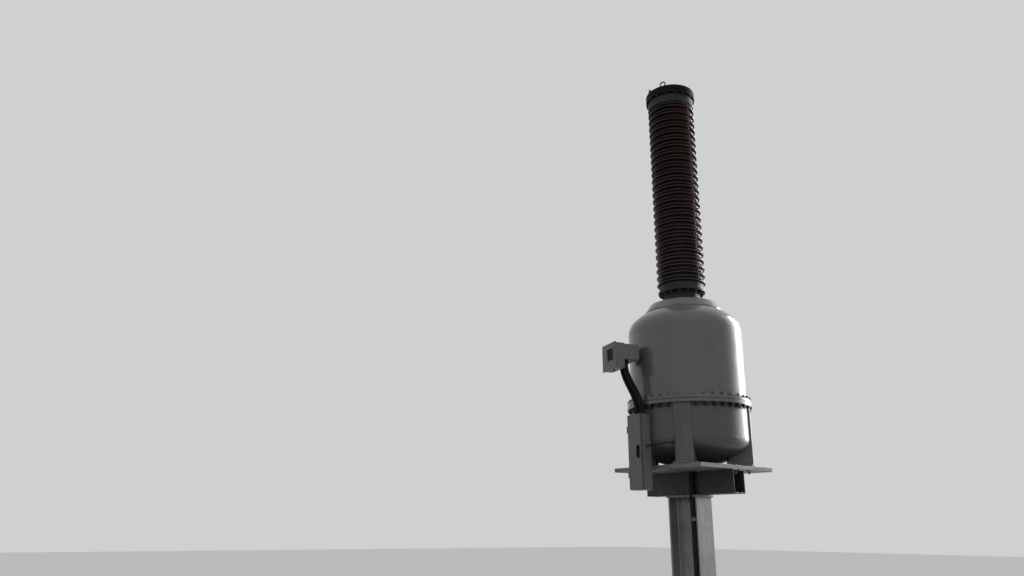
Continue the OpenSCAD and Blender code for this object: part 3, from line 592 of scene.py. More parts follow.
def hexBolt(thread, h=None, washer=1.02, stud=0.0):
    # head or nut on a washer, standing on z = 0, with the thread's end above it
    h = h or 0.66 * thread
    z = 0.16 * thread
    shapes = [band(0.5 * thread, washer * thread, 0, z, 20), shifted(hexagon(1.6 * thread, h), (0, 0, z))]
    if stud:
        top = z + h + stud
        shapes.append(lathe([(0.5 * thread, z + h * 0.9), (0.5 * thread, top - 0.1 * thread),
                             (0.4 * thread, top), (0, top)], 12))
    return shapes


def panScrew(d, h):
    # low round head with a socket in the middle, standing on z = 0
    return [lathe([(0.5 * d, 0), (0.5 * d, 0.45 * h), (0.40 * d, 0.88 * h), (0.27 * d, h), (0.22 * d, h),
                   (0.20 * d, 0.45 * h), (0, 0.45 * h)], 16)]


def fasten(shapes, at, axis, turn=None):
    return allMoved(shapes, placed(at, axis, turn))


def boltRing(bolt, places, radius, z, axis=upwards, turn=sideways):
    # the same bolt at each of the places round the tank's axis
    return [shape for a in places for shape in fasten(bolt, around(a, radius, z), axis, turn(a))]


flangeBolts = {"count": 40, "thread": 0.0215, "outFromShell": 0.0190, "nut": 0.8, "washer": 0.86,
               "stud": 0.013, "clearOfLegs": 10.0}
boltR = tankR + flangeBolts["outFromShell"]
nut = hexBolt(flangeBolts["thread"], flangeBolts["nut"] * flangeBolts["thread"], flangeBolts["washer"],
              flangeBolts["stud"])
places = ringPlaces(flangeBolts["count"], turns["legs"][0] + 180 / flangeBolts["count"])
joined("flange_bolts_upper", boltRing(nut, places, boltR, upperFlangeHigh.z), "galvanised_steel", boltZinc)
# under the joint the tops of the legs leave no room for some
places = [a for a in places
          if all(abs((a - leg + 180) % 360 - 180) > flangeBolts["clearOfLegs"] for leg in turns["legs"])]
nuts = boltRing(nut, places, boltR, flangeLow.z, downwards)
joined("flange_bolts_lower", nuts, "galvanised_steel", boltRustAndShade)
print("flange bolted")


# painted weld beads on the tank: round seams, one long seam down each shell, flanges, boss and necks

welds = {"width": 0.009, "proud": 0.0016, "sunk": 0.0004, "steps": 240, "longSeams": (52, 192),
         "clearOfFlange": 0.008, "clearOfSeam": 0.004, "fillet": 0.005, "boss": 0.005, "bossUp": 0.001,
         "boxNeck": 0.006, "gaugeStem": 0.004, "gaugeStemR": 0.014}
# a bead's section from one side to the other: how far across, and how far out of the shell
crown = [(t * welds["width"] / 2, welds["proud"] * math.sqrt(1 - t * t) - welds["sunk"])
         for t in (k / 3 - 1 for k in range(7))]


def roundSeam(z):
    return lathe([(tankR + out, z + across) for across, out in crown], welds["steps"])


def longSeam(angle, low, high):
    parts, wide = 40, len(crown)
    points = [around(angle, tankR + out, low + (high - low) * k / parts, across)
              for k in range(parts + 1) for across, out in crown]
    faces = [(i, i + 1, i + wide + 1, i + wide)
             for row in range(parts) for i in range(row * wide, (row + 1) * wide - 1)]
    return points, faces


def filletBead(z, direction):
    # weld between the shell and a flange, rising when direction is 1 and hanging when it is -1
    size = welds["fillet"]
    section = ((1, 0), (0.62, 0.22), (0.3, 0.5), (-0.04, 1))
    rows = [(tankR + out * size, z + direction * rise * size) for out, rise in section]
    return lathe(rows if direction > 0 else rows[::-1], welds["steps"])


def neckBead(angle, z, neckR, size):
    # weld where a round neck meets the shell
    line = []
    for a in ringPlaces(72):
        side, rise = neckR * math.cos(math.radians(a)), neckR * math.sin(math.radians(a))
        line.append(around(angle, math.sqrt(tankR * tankR - side * side), z + rise, side))
    return sweep(line, size, closed=True)


bossLow, bossHigh = measured("dome_boss")
neckLow, neckHigh = measured("terminal_box_neck", turns["box"])
gaugeLow, gaugeHigh = measured("gas_gauge", turns["gauge"])
gaugeZ = (gaugeLow.z + gaugeHigh.z) / 2
upperSeam, lowerSeam = welds["longSeams"]
bossLine = [around(a, bossHigh.x, bossLow.z + welds["bossUp"]) for a in ringPlaces(120)]
joined("tank_welds", [
    roundSeam(domeZ), roundSeam(tankLow.z), filletBead(upperFlangeHigh.z, 1), filletBead(flangeLow.z, -1),
    longSeam(upperSeam, upperFlangeHigh.z + welds["clearOfFlange"], domeZ - welds["clearOfSeam"]),
    longSeam(lowerSeam, tankLow.z + welds["clearOfSeam"], flangeLow.z - welds["clearOfFlange"]),
    sweep(bossLine, welds["boss"], closed=True),
    neckBead(turns["box"], (neckLow.z + neckHigh.z) / 2, (neckHigh.y - neckLow.y) / 2, welds["boxNeck"]),
    neckBead(turns["gauge"], gaugeZ, welds["gaugeStemR"], welds["gaugeStem"]),
], "tank_paint", sharp=60)


# welds on the stand: round the legs' feet, at the column's ends and along the gussets

leg = {"footT": 0.014, "half": 0.085, "bend": 0.018, "inset": 0.028, "bead": 0.005}
column = {"flange": 0.018, "web": 0.012, "bead": 0.006}
gusset = {"bead": 0.005, "belowTop": 0.004, "pastEnd": 0.001}
tableLow, tableHigh = measured("table_plate")
legLow, legHigh = measured(legNames[0], turns["legs"][0])
footTop = tableHigh.z + leg["footT"]
bendX, bendY = legHigh.x - leg["bend"], leg["bend"] - leg["half"]
line = [(legLow.x + leg["inset"], -leg["half"])]
line += [(bendX + leg["bend"] * math.sin(math.radians(t)), bendY - leg["bend"] * math.cos(math.radians(t)))
         for t in range(0, 91, 15)]
line += [(x, -y) for x, y in reversed(line)]
shapes = [sweep([around(a, x, footTop, y) for x, y in line], leg["bead"]) for a in turns["legs"]]
columnLow, columnHigh = measured("column")
halfW, halfD = columnHigh.x, (columnHigh.y - columnLow.y) / 2
midY = (columnLow.y + columnHigh.y) / 2
inside = halfD - column["flange"]
for z in (columnLow.z, columnHigh.z):
    for side in (-1, 1):
        for y in (halfD, inside):
            shapes.append(sweep([(-halfW, midY + side * y, z), (halfW, midY + side * y, z)], column["bead"]))
        x = side * column["web"] / 2
        shapes.append(sweep([(x, midY - inside, z), (x, midY + inside, z)], column["bead"]))
gussetLow, gussetHigh = measured("base_gussets")
for side, endY in ((-1, gussetLow.y), (1, gussetHigh.y)):
    for x in (gussetLow.x, gussetHigh.x):
        y = midY + side * halfD
        top = (x, y, gussetHigh.z - gusset["belowTop"])
        outerEnd = (x, endY + side * gusset["pastEnd"], gussetLow.z)
        shapes += [sweep([(x, y, gussetLow.z), end], gusset["bead"]) for end in (top, outerEnd)]
joined("stand_welds", shapes, "galvanised_steel", sharp=60)
print("welds laid")


# bolts on the stand: anchors, feet of the legs, table to head, head to column plate

anchor = {"thread": 0.033, "nut": 0.027, "washer": 0.98, "stud": 0.040, "pitch": 0.25, "plate": 0.078,
          "plateT": 0.010}
foot = {"thread": 0.014, "washer": 0.92, "stud": 0.006, "nut": 0.011, "nutStud": 0.010, "side": 0.099,
        "reach": (0.385, 0.455, 0.525)}
table = {"thread": 0.024, "stud": 0.010, "inFromEdge": 0.038, "channelT": 0.012,
         "rows": (-0.47, -0.30, 0.30, 0.47), "capRows": (0.075, 0.165)}
headLow = measured(headNames[0])[0]
headHigh = measured(headNames[1])[1]
capLow, capHigh = measured("column_cap")
baseHigh = measured("base_plate")[1]
shapes = []
nut = hexBolt(anchor["thread"], anchor["nut"], anchor["washer"], anchor["stud"])
plate = bar(anchor["plate"], anchor["plate"], anchor["plateT"])
for x in (-1, 1):
    for y in (-1, 1):
        at = Vector((x * anchor["pitch"], midY + y * anchor["pitch"], baseHigh.z))
        shapes.append(shifted(plate, at))
        shapes += fasten(nut, at + Vector((0, 0, anchor["plateT"])), upwards)
bolt = hexBolt(foot["thread"], None, foot["washer"], foot["stud"])
nut = hexBolt(foot["thread"], foot["nut"], stud=foot["nutStud"])
for a in turns["legs"]:
    for side in (-foot["side"], foot["side"]):
        for reach in foot["reach"]:
            shapes += fasten(bolt, around(a, reach, footTop, side), upwards, outwards(a))
            shapes += fasten(nut, around(a, reach, tableLow.z, side), downwards, outwards(a))
bolt = hexBolt(table["thread"])
nut = hexBolt(table["thread"], stud=table["stud"])
ends = [(y, tableHigh.z, tableLow.z - table["channelT"]) for y in table["rows"]]
for y in table["capRows"]:
    ends += [(capLow.y + y, headLow.z + table["channelT"], capLow.z),
             (capHigh.y - y, headLow.z + table["channelT"], capLow.z)]
for side in (-1, 1):
    x = side * (headHigh.x - table["inFromEdge"])
    for y, top, bottom in ends:
        shapes += fasten(bolt, (x, y, top), upwards, alongY)
        shapes += fasten(nut, (x, y, bottom), downwards, alongY)
joined("stand_bolts", shapes, "galvanised_steel", boltZinc)
print("stand bolted")


# bushing: cement joints, cast rings, bolts of the fitting, the neck and the cap

bushing = {"rodCount": 16, "rodStart": 11, "rodThread": 0.016, "rodNut": 0.8, "rodStud": 0.012,
           "rodR": 0.213, "footCount": 20, "footStart": 4, "footThread": 0.0105, "footR": 0.1895,
           "footUp": 0.012, "capCount": 16, "capStart": 7, "capThread": 0.0115, "capStud": 0.006,
           "washer": 0.8, "cement": 0.006, "cementIn": 0.012, "sheds": 0.199}
ring = {"h": 0.010, "proud": 0.003, "sunk": 0.004, "belowTop": 0.030, "footH": 0.012, "footIn": 0.014,
        "footProud": 0.004, "capH": 0.009, "capIn": 0.005, "capProud": 0.0048, "steps": 128}
stemLow = measured("bushing_neck")[0]
fittingLow, fittingHigh = measured("bushing_fitting")
topLow, topHigh = measured("top_fitting")
topCapLow, topCapHigh = measured("top_cap")
topR, capR = topHigh.x, topCapHigh.x
shapes = []
for z, rise in ((fittingHigh.z, bushing["cement"]), (topLow.z, -bushing["cement"])):
    wedge = [(bushing["sheds"], z), (topR - bushing["cementIn"], z), (bushing["sheds"], z + rise)]
    shapes.append(closedLathe(wedge, ring["steps"]))
joined("cement_joints", shapes, "bushing_metal", cementGrey)


def castRing(radius, z, h, proud):
    section = [(-ring["sunk"], 0), (0.4 * proud, 0), (proud, 0.25 * h), (proud, 0.75 * h), (0.4 * proud, h),
               (-ring["sunk"], h)]
    return closedLathe([(radius + out, z + rise) for out, rise in section], ring["steps"])


joined("fitting_rings", [
    castRing(topR, topLow.z, ring["h"], ring["proud"]),
    castRing(topR, topHigh.z - ring["belowTop"], ring["h"], ring["proud"]),
    castRing(fittingHigh.x - ring["footIn"], fittingHigh.z - ring["footH"], ring["footH"],
             ring["footProud"]),
    castRing(capR - ring["capIn"], topCapLow.z, ring["capH"], ring["capProud"]),
], "bushing_metal", ringDark, sharp=50)
rod = hexBolt(bushing["rodThread"], bushing["rodNut"] * bushing["rodThread"], 1.0, bushing["rodStud"])
footBolt = hexBolt(bushing["footThread"], None, bushing["washer"])
capBolt = hexBolt(bushing["capThread"], None, bushing["washer"], bushing["capStud"])
rodPlaces, footPlaces, capPlaces = [ringPlaces(bushing[where + "Count"], bushing[where + "Start"])
                                    for where in ("rod", "foot", "cap")]
joined("bushing_bolts", [
    *boltRing(rod, rodPlaces, bushing["rodR"], fittingLow.z, downwards, outwards),
    *boltRing(footBolt, footPlaces, bushing["footR"], stemLow.z + bushing["footUp"]),
    *boltRing(capBolt, capPlaces, (topR + capR) / 2, topCapLow.z, downwards),
], "galvanised_steel", boltRustAndShade)
print("bushing dressed")


# corrugated conduits between the boxes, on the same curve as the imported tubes, and their glands

hose = {"radius": 0.025, "ridge": 0.0046, "pitch": 0.0118, "sides": 24, "bend": 0.170,
        "wave": (0.0, 0.75, 1.0, 0.75)}
gland = {"collar": 0.008, "waist": 0.002, "taper": 0.015, "mouth": 0.004, "ribs": 18, "ribHalf": 0.0016,
         "ribIn": 0.003, "ribOut": 0.0004, "ribFoot": 0.006, "ribTop": 0.010}


def glandPlaces(node, angle, end):
    # middle of each of the two glands in a node at its lower end, 0, or its upper one, 1, and their radius
    low, high = measured(node, angle)
    half = (high.x - low.x) / 2
    z = (low, high)[end].z
    return [around(angle, low.x + half, z, side) for side in (low.y + half, high.y - half)], half


boxGlands, glandR = glandPlaces("box_glands", turns["box"], 0)
cabinetGlands = glandPlaces("cabinet_glands", turns["cabinet"], 1)[0]
glandH = measured("box_glands")[1].z - boxGlands[0].z
waist = glandR - gland["waist"]
shoulder = glandH - gland["collar"]
body = [(0.0, 0.0), (waist - gland["mouth"], 0.0), (waist - 0.002, gland["mouth"]), (waist, gland["taper"]),
        (waist, shoulder), (glandR, shoulder), (glandR, glandH), (0.0, glandH)]
rib = block((glandR - gland["ribIn"], -gland["ribHalf"], gland["ribFoot"]),
            (glandR - gland["ribOut"], gland["ribHalf"], glandH - gland["ribTop"]), 0.0006)
glandShapes = [lathe(body, 40)] + [moved(rib, facingOut(a)) for a in ringPlaces(gland["ribs"])]
hoses, glands = [], []
for top, bottom in zip(boxGlands, cabinetGlands):
    drop = Vector((0, 0, hose["bend"]))
    course = [top, top - drop, bottom + drop, bottom]
    measure = curve(course, 60)
    length = sum((b - a).length for a, b in zip(measure, measure[1:]))
    parts = round(length / hose["pitch"]) * len(hose["wave"])
    radii = [hose["radius"] - hose["ridge"] * (1 - hose["wave"][k % len(hose["wave"])])
             for k in range(parts + 1)]
    hoses.append(sweep(curve(course, parts), radii, hose["sides"]))
    glands += fasten(glandShapes, top, upwards) + fasten(glandShapes, bottom, downwards)
joined("corrugated_conduits", hoses, "black_polymer", stands=["box_conduits"], sharp=80)
joined("conduit_glands", glands, "black_polymer", stands=["box_glands", "cabinet_glands"])
print("conduits laid")


# terminal box: cover screws, seal, window frame and its screws, earth stud and drain plug

box = {"screwD": 0.011, "screwH": 0.0025, "screwIn": 0.012, "seal": 0.003, "sealW": 0.0045, "frame": 0.011,
       "frameT": 0.0035, "frameSunk": 0.001, "inset": 0.001, "glassScrewD": 0.007, "glassScrewOut": 0.005,
       "earthD": 0.010, "earthStud": 0.010, "earthIn": 0.048, "earthUp": 0.042, "drainD": 0.014,
       "drainH": 0.010, "drainIn": 0.045}
toBox = facingOut(turns["box"])
boxLow, boxHigh = measured("terminal_box", turns["box"])
coverLow, coverHigh = measured("terminal_box_cover", turns["box"])
paneLow, paneHigh = measured("terminal_box_window", turns["box"])
seal = frameRing(boxHigh.x - box["seal"], boxHigh.x, boxLow.y, boxHigh.y, boxLow.z, boxHigh.z, box["sealW"])
joined("cover_seal", seal, "black_polymer", turn=toBox)
inset = box["inset"]
rim = frameRing(coverHigh.x - box["frameSunk"], coverHigh.x + box["frameT"], paneLow.y + inset,
                paneHigh.y - inset, paneLow.z + inset, paneHigh.z - inset, box["frame"], 0.0012)
joined("window_frame", rim, "box_paint", coverPaintShaded, turn=toBox)
midY, midZ = (coverLow.y + coverHigh.y) / 2, (coverLow.z + coverHigh.z) / 2
shapes = []
for y in (coverLow.y + box["screwIn"], midY, coverHigh.y - box["screwIn"]):
    for z in (coverLow.z + box["screwIn"], midZ, coverHigh.z - box["screwIn"]):
        if (y, z) != (midY, midZ):
            shapes += fasten(panScrew(box["screwD"], box["screwH"]), (coverHigh.x, y, z), alongX)
out = box["glassScrewOut"]
for y in (paneLow.y - out, paneHigh.y + out):
    for z in (paneLow.z - out, paneHigh.z + out):
        at = (coverHigh.x + box["frameT"], y, z)
        shapes += fasten(panScrew(box["glassScrewD"], box["screwH"]), at, alongX)
earth = (boxHigh.x - box["earthIn"], boxLow.y, boxLow.z + box["earthUp"])
plug = (boxHigh.x - box["drainIn"], midY, boxLow.z)
shapes += fasten(hexBolt(box["earthD"], None, 1.1, box["earthStud"]), earth, (0, -1, 0))
shapes += fasten(hexBolt(box["drainD"], box["drainH"], 0.9), plug, downwards)
joined("terminal_box_screws", shapes, "galvanised_steel", ringLight, turn=toBox)
print("terminal box dressed")


# inside the cabinet: two rows of terminals, some of them coloured, their screws, rails, plate and cables

rows = {"pitch": 0.0082, "gap": 0.0006, "w": 0.044, "out": 0.042, "end": 0.020, "screwD": 0.0042,
        "screwH": 0.0012, "screwOut": 0.40, "screwUp": 0.755, "plateT": 0.003, "railT": 0.005,
        "railW": 0.007, "railAt": (-0.0175, 0.0105), "railEnd": 0.006, "bolt": 0.008, "boltIn": 0.012,
        "boltEnd": 0.014}
cable = {"radius": 0.0038, "count": 5, "apart": 0.0085, "stagger": 0.004, "entryOut": 0.008,
         "entrySide": 0.030, "entryEnd": 0.003, "drop": 0.050, "lane": 0.005, "laneStep": 0.0022,
         "laneTop": 0.030, "laneRun": 0.090, "depth": 0.046, "depthStep": 0.0035, "firstEnd": 0.060,
         "endStep": 0.088, "endSpread": 0.012, "bend": 0.030, "tight": 0.004, "endBack": 0.012,
         "endOut": 0.45}
toCabinet = facingOut(turns["cabinet"])
bodyLow, bodyHigh = measured("cabinet_body", turns["cabinet"])
railLow, railHigh = measured("cabinet_rails", turns["cabinet"])
plateX = railLow.x + rows["plateT"]
depth = railHigh.x - plateX
# outline of one terminal seen from above: foot on the rail, two shoulders with screws, raised middle
half = [(0, -0.20), (0.16, -0.20), (0.16, -0.50), (0.70, -0.50), (0.80, -0.30), (1.0, -0.18)]
outline = [(plateX + x * depth, y * rows["w"]) for x, y in half + [(x, -y) for x, y in reversed(half)]]
terminal = prism(outline, rows["pitch"] - rows["gap"])
screwR = rows["screwD"] / 2
screw = [lathe([(screwR, 0), (screwR, rows["screwH"]), (0, rows["screwH"])], 8)]
terminals = {"grey": [], "blue": [], "green": []}
screws = []
for side in (-1, 1):
    for k in range(int((railHigh.z - railLow.z - 2 * rows["end"]) / rows["pitch"])):
        z = railLow.z + rows["end"] + k * rows["pitch"]
        kind = "green" if k % 22 == 21 else "blue" if k % 11 in (4, 5) else "grey"
        terminals[kind].append(shifted(terminal, (0, side * rows["out"], z)))
        for edge in (-1, 1):
            at = (plateX + rows["screwUp"] * depth, side * rows["out"] + edge * rows["screwOut"] * rows["w"],
                  z + rows["pitch"] / 2)
            screws += fasten(screw, at, (0.894, 0.447 * edge, 0))
joined("terminals_grey", terminals["grey"], "terminal_blocks", stands=["cabinet_rails"], turn=toCabinet)
joined("terminals_blue", terminals["blue"], "terminal_blocks", terminalBlue, turn=toCabinet)
joined("terminals_green", terminals["green"], "terminal_blocks", terminalGreen, turn=toCabinet)
joined("terminal_screws", screws, "terminal_blocks", ringLight, turn=toCabinet)

plate = [block(railLow, (plateX, railHigh.y, railHigh.z))]
for side in (-1, 1):
    for y in rows["railAt"]:
        edge = side * rows["out"] + y
        low = (plateX, edge, railLow.z + rows["railEnd"])
        high = (plateX + rows["railT"], edge + rows["railW"], railHigh.z - rows["railEnd"])
        plate.append(block(low, high, 0.0004))
for y in (railLow.y + rows["boltIn"], railHigh.y - rows["boltIn"]):
    for z in (railLow.z + rows["boltEnd"], railHigh.z - rows["boltEnd"]):
        plate += fasten(hexBolt(rows["bolt"]), (plateX, y, z), alongX)
joined("mounting_plate", plate, "galvanised_steel", turn=toCabinet)

# each cable drops from its gland into a lane between the rows, then bends to a terminal
cables = []
for side in (-1, 1):
    entry = Vector(((bodyLow.x + bodyHigh.x) / 2 + cable["entryOut"], side * cable["entrySide"],
                    bodyHigh.z - cable["entryEnd"]))
    endY = side * (rows["out"] - cable["endOut"] * rows["w"])
    for k in range(cable["count"]):
        across = (k - (cable["count"] - 1) / 2) * cable["apart"]
        start = entry + Vector((cable["stagger"] * (k % 2), across, 0))
        endZ = railLow.z + cable["firstEnd"] + cable["endStep"] * k
        endZ += chance.uniform(-cable["endSpread"], cable["endSpread"])
        x = plateX + cable["depth"] + cable["depthStep"] * (k % 3)
        y = side * (cable["lane"] + cable["laneStep"] * k)
        fromGland = curve([start, start - Vector((0, 0, cable["drop"])),
                           Vector((x, y, railHigh.z - cable["laneTop"])),
                           Vector((x, y, railHigh.z - cable["laneRun"]))], 12)
        toRow = curve([fromGland[-1], Vector((x, y, endZ + cable["bend"])),
                       Vector((x, y, endZ + cable["tight"])),
                       Vector((x - cable["endBack"], endY, endZ))], 14)
        cables.append(sweep(fromGland + toRow[1:], cable["radius"], 10))
joined("inner_cables", cables, "black_polymer", turn=toCabinet, sharp=70)


# the cabinet's door: seal, ribs, lock and screws of handle and hinges

door = {"skin": 0.003, "bodyIn": 0.002, "sealIn": 0.020, "sealD": 0.008, "sealW": 0.009, "ribD": 0.010,
        "ribHalf": 0.012, "ribEnd": 0.040, "ribAt": (-0.045, 0.020)}
lock = {"behind": 0.018, "tongueT": 0.004, "tongueHalf": (0.010, 0.011), "tongueIn": 0.012, "rodR": 0.008,
        "rodLength": 0.037, "screwD": 0.008, "screwH": 0.0025, "screwIn": 0.006, "collarHole": 0.0045,
        "collarR": 0.0078, "collarH": 0.0014, "collarOut": 0.016, "collarDown": 0.022}
hinge = {"length": 0.060, "screwD": 0.007, "screwH": 0.002, "screwIn": (0.010, 0.022), "screwOut": 0.005,
         "rows": (0.22, 0.62), "rowUp": 0.004, "pinBack": 0.009, "pinOut": 0.012}
doorLow, doorHigh = measured("cabinet_door", turns["cabinet"])
handleLow, handleHigh = measured("door_handle", turns["cabinet"])
hingeLow, hingeHigh = measured("cabinet_hinges", turns["cabinet"])
back = doorHigh.x - door["skin"]
sealIn = door["sealIn"]
seal = frameRing(back - door["sealD"], back, bodyLow.y + door["bodyIn"] + sealIn,
                 bodyHigh.y - door["bodyIn"] - sealIn, doorLow.z + sealIn, doorHigh.z - sealIn,
                 door["sealW"], 0.002)
joined("door_seal", seal, "black_polymer", body=doorBody, turn=toCabinet)
ribs = [block((back - door["ribD"], y - door["ribHalf"], doorLow.z + door["ribEnd"]),
              (back, y + door["ribHalf"], doorHigh.z - door["ribEnd"]), 0.003, 2) for y in door["ribAt"]]
joined("door_ribs", ribs, "cabinet_paint", doorPaintShaded, doorBody, turn=toCabinet)

lockX = bodyHigh.x - lock["behind"]
lockY, lockZ = (handleLow.y + handleHigh.y) / 2, (handleLow.z + handleHigh.z) / 2
halfY, halfZ = lock["tongueHalf"]
rod = [(0, 0), (lock["rodR"], 0), (lock["rodR"], lock["rodLength"]), (0, lock["rodLength"])]
tongue = [block((lockX, lockY - halfY, lockZ - halfZ),
                (lockX + lock["tongueT"], bodyHigh.y - lock["tongueIn"], lockZ + halfZ)),
          *fasten([lathe(rod, 16)], (lockX, lockY, lockZ), alongX)]
joined("lock_tongue", tongue, "galvanised_steel", ringLight, doorBody, turn=toCabinet)
shapes = []
screw = panScrew(lock["screwD"], lock["screwH"])
for z in (handleLow.z + lock["screwIn"], handleHigh.z - lock["screwIn"]):
    shapes += fasten(screw, (handleLow.x + lock["screwIn"], lockY, z), alongX)
collar = [band(lock["collarHole"], lock["collarR"], 0.0, lock["collarH"], 24)]
at = (handleLow.x + lock["collarOut"], lockY, handleHigh.z - lock["collarDown"])
shapes += fasten(collar, at, alongX)
joined("handle_screws", shapes, "galvanised_steel", ringLight, doorBody, turn=toCabinet)

shapes = []
screw = panScrew(hinge["screwD"], hinge["screwH"])
pinEnd = lathe([(0.0055, 0), (0.0055, 0.002), (0.003, 0.0035), (0, 0.0035)], 16)
for low in (hingeLow.z, hingeHigh.z - hinge["length"]):
    for row in hinge["rows"]:
        z = low + row * hinge["length"] / 2 + hinge["rowUp"]
        for x in (bodyHigh.x - out for out in hinge["screwIn"]):
            shapes += fasten(screw, (x, bodyLow.y - hinge["screwOut"], z), (0, -1, 0))
    at = (doorHigh.x - hinge["pinBack"], bodyLow.y - hinge["pinOut"], low + hinge["length"])
    shapes.append(shifted(pinEnd, at))
joined("hinge_screws", shapes, "galvanised_steel", ringLight, turn=toCabinet)
print("cabinet dressed")


# gas gauge with a plain dial

gauge = {"bezel": 0.005, "rimIn": 0.007, "rimOut": 0.0015, "rimBack": 0.004, "bandBack": 0.030,
         "bandFront": 0.024, "bandHalf": 0.002, "ticks": 25, "everyLong": 6, "sweep": 270, "needle": 34,
         "short": 0.013, "long": 0.017, "tickOut": 0.009, "steps": 64}
dialR = (gaugeHigh.z - gaugeLow.z) / 2
toDial = facingOut(turns["gauge"]) @ placed((gaugeHigh.x, 0, gaugeZ), alongX, upwards)
rimR, bezel = dialR - gauge["rimIn"], gauge["bezel"]
outer = dialR + gauge["rimOut"]
rim = [(rimR, -gauge["rimBack"]), (outer, -gauge["rimBack"]), (outer, bezel - gauge["rimOut"]),
       (dialR, bezel), (dialR - 0.005, bezel), (rimR, 0.0)]
joined("gauge_rim", [
    closedLathe(rim, gauge["steps"]),
    band(dialR - gauge["bandHalf"], dialR + gauge["bandHalf"], -gauge["bandBack"], -gauge["bandFront"],
         gauge["steps"]),
], "box_paint", ringLight, turn=toDial)
face = lathe([(rimR + 0.0002, 0.0006), (rimR + 0.0002, 0.0008), (0, 0.0008)], gauge["steps"])
joined("gauge_dial", [face], "box_paint", dialWhite, turn=toDial)
marks = []
for k in range(gauge["ticks"]):
    isLong = k % gauge["everyLong"] == 0
    wide = 0.0008 if isLong else 0.0004
    tick = block((dialR - gauge["long" if isLong else "short"], -wide, 0.0008),
                 (dialR - gauge["tickOut"], wide, 0.0012), 0)
    marks.append(moved(tick, facingOut(gauge["sweep"] * (k / (gauge["ticks"] - 1) - 0.5))))
tip = (dialR - gauge["short"], 0.0)
needle = prism([(-0.010, -0.0016), (0.0, -0.0022), tip, (0.0, 0.0022), (-0.010, 0.0016)], 0.0007)
marks.append(shifted(moved(needle, facingOut(gauge["needle"])), (0, 0, 0.0022)))
marks.append(lathe([(0.0045, 0.0008), (0.0045, 0.0034), (0, 0.0036)], 20))
joined("gauge_marks", marks, "black_polymer", turn=toDial)


# gas pipe with its fittings, and the cap of the drain valve

pipe = {"radius": 0.007, "bend": 0.070, "nut": 0.026, "nutH": 0.016, "sides": 16, "sleeveR": 0.0095,
        "sleeveH": 0.007}
drain = {"reach": 0.380,
         "section": [(0, -0.024), (0.015, -0.024), (0.018, -0.020), (0.018, -0.004), (0.016, 0), (0, 0)]}
pipeLow, pipeHigh = measured("gas_pipe")
valveEnd = measured("gas_valves", turns["valve"])[1].x
start = around(turns["cabinet"], (bodyLow.x + bodyHigh.x) / 2, pipeLow.z + pipe["radius"], bodyHigh.y)
end = around(turns["valve"], valveEnd, pipeHigh.z - pipe["radius"])
fromCabinet, fromValve = sideways(turns["cabinet"]), outwards(turns["valve"])
line = curve([start, start + fromCabinet * pipe["bend"], end + fromValve * pipe["bend"], end], 40)
joined("gas_pipe_run", [sweep(line, pipe["radius"], pipe["sides"])], "black_polymer", stands=["gas_pipe"])
r, low, high = pipe["sleeveR"], pipe["nutH"], pipe["nutH"] + pipe["sleeveH"]
union = [hexagon(pipe["nut"], pipe["nutH"]), lathe([(r, low), (r, high), (r - 0.002, high + 0.003)], 20)]
valveCap = lathe(drain["section"], 28)
joined("gas_fittings", [
    *fasten(union, start, fromCabinet), *fasten(union, end, fromValve),
    shifted(valveCap, around(turns["drain"], drain["reach"], measured("gas_valves")[0].z)),
], "bushing_metal", brass)
print("gas fittings dressed")


# clamps on the column's conduit: ears with a bolt on the open side of each clip

clip = {"heights": [0.5, 1.1, 1.7], "h": 0.030, "earW": 0.016, "earT": 0.004, "earIn": 0.003,
        "apart": 0.0035, "r": 0.029, "thread": 0.006, "stud": 0.004}
tubeLow, tubeHigh = measured("column_conduit")
mid = (tubeLow + tubeHigh) / 2
earX = mid.x - clip["r"]
outer = clip["apart"] + clip["earT"] / 2
shapes = []
for z in clip["heights"]:
    for y in (mid.y - clip["apart"], mid.y + clip["apart"]):
        shapes.append(block((earX - clip["earW"], y - clip["earT"] / 2, z),
                            (earX + clip["earIn"], y + clip["earT"] / 2, z + clip["h"])))
    for side, stud in ((-1, 0.0), (1, clip["stud"])):
        at = (earX - clip["earW"] / 2, mid.y + side * outer, z + clip["h"] / 2)
        shapes += fasten(hexBolt(clip["thread"], None, 1.0, stud), at, (0, side, 0))
joined("clip_ears", shapes, "galvanised_steel")
print("clips dressed")


# camera at the photograph's place, floor, backdrop and light

# angles in degrees, focal length and width in pixels of the picture, sensor in mm
view = {"place": (-6.178, -5.089, 1.6), "heading": 52.3, "pitch": 17.3, "roll": 0.35, "focal": 780,
        "width": 1024, "sensor": 36}
camera = addObject("camera", bpy.data.cameras.new("camera"))
camera.data.sensor_width = view["sensor"]
camera.data.lens = view["focal"] / view["width"] * view["sensor"]
camera.data.clip_end = 200
turned = [Matrix.Rotation(math.radians(angle), 4, axis)
          for angle, axis in ((view["heading"] - 90, "Z"), (90 + view["pitch"], "X"), (view["roll"], "Z"))]
camera.matrix_world = Matrix.Translation(view["place"]) @ turned[0] @ turned[1] @ turned[2]
scene.camera = camera

backdrop = {"light": (0.94, 0.96, 1.0), "horizon": 0.34, "zenith": 0.62, "seen": (0.62, 0.63, 0.645),
            "floorSeen": (0.36, 0.36, 0.355), "floorLight": (0.13, 0.13, 0.125), "floorGlow": 0.27,
            "floorHalf": 60}


def seenDirectly(tree):
    # 1 for rays that show the background itself: straight ones, mirrored ones and ones through glass
    rays = tree.nodes.new("ShaderNodeLightPath")
    total = rays.outputs["Is Camera Ray"]
    for kind in ("Is Glossy Ray", "Is Transmission Ray"):
        either = addNode(tree, "ShaderNodeMath", {0: total, 1: rays.outputs[kind]})
        either.operation = "MAXIMUM"
        total = either.outputs[0]
    return total


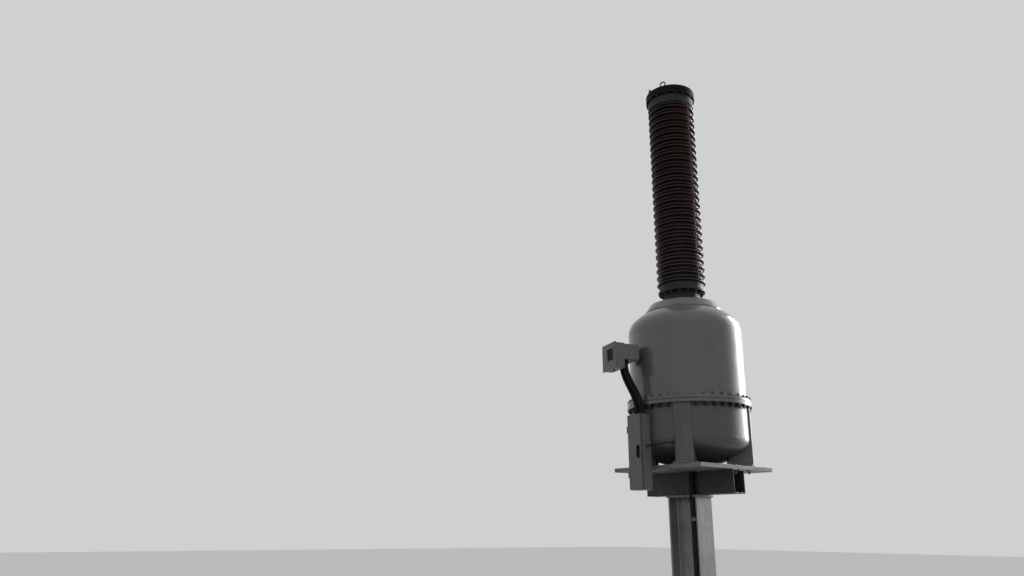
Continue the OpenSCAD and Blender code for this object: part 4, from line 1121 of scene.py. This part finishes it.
floorMesh = bpy.data.meshes.new("floor")
reach = backdrop["floorHalf"]
floorMesh.from_pydata([(-reach, -reach, 0), (reach, -reach, 0), (reach, reach, 0), (-reach, reach, 0)], [],
                      [(0, 1, 2, 3)])
floor = addObject("floor", floorMesh)
pale = Finish("floorPale")
shown = seenDirectly(pale.tree)
floorMesh.materials.append(pale.shaded({
    "Base Color": pale.mix(shown, backdrop["floorLight"], backdrop["floorSeen"]), "Roughness": 0.9,
    "Emission Color": (1.0, 1.0, 1.0, 1.0), "Emission Strength": pale.times(shown, backdrop["floorGlow"])}))

world = bpy.data.worlds.new("studio")
scene.world = world
world.use_nodes = True
sky = world.node_tree
# an even sky, somewhat brighter overhead than at the horizon
direction = sky.nodes.new("ShaderNodeTexCoord").outputs["Generated"]
split = addNode(sky, "ShaderNodeSeparateXYZ", {0: direction})
rise = addNode(sky, "ShaderNodeMapRange", {
    "Value": split.outputs["Z"], "From Min": 0.0, "From Max": 0.9, "To Min": backdrop["horizon"],
    "To Max": backdrop["zenith"]})
lit = feed(sky, sky.nodes["Background"], {
    "Color": (*backdrop["light"], 1), "Strength": rise.outputs["Result"]})
plain = addNode(sky, "ShaderNodeBackground", {"Color": (*backdrop["seen"], 1)})
choice = addNode(sky, "ShaderNodeMixShader", {
    "Fac": seenDirectly(sky), 1: lit.outputs[0], 2: plain.outputs[0]})
feed(sky, sky.nodes["World Output"], {"Surface": choice.outputs[0]})

lamps = {
    "key": {"at": (10.6, -1.7, 6.4), "width": 2.4, "height": 8.5, "power": 760, "spread": 110,
            "colour": (1.0, 0.97, 0.92)},
    "front": {"at": (-7.5, -9.0, 8.5), "width": 14.0, "height": 13.0, "power": 62, "spread": 180,
              "colour": (0.95, 0.97, 1.0)},
}
aim = Vector((0, 0, 3.4))
for name, lamp in lamps.items():
    light = bpy.data.lights.new(name, "AREA")
    light.shape = "RECTANGLE"
    light.size = lamp["width"]
    light.size_y = lamp["height"]
    light.energy = lamp["power"]
    light.color = lamp["colour"]
    light.spread = math.radians(lamp["spread"])
    lampObject = addObject(name, light)
    lampObject.location = lamp["at"]
    lampObject.rotation_mode = "QUATERNION"
    lampObject.rotation_quaternion = (aim - Vector(lamp["at"])).to_track_quat("-Z", "Y")
scene.view_settings.view_transform = "Standard"
print("camera and light set")
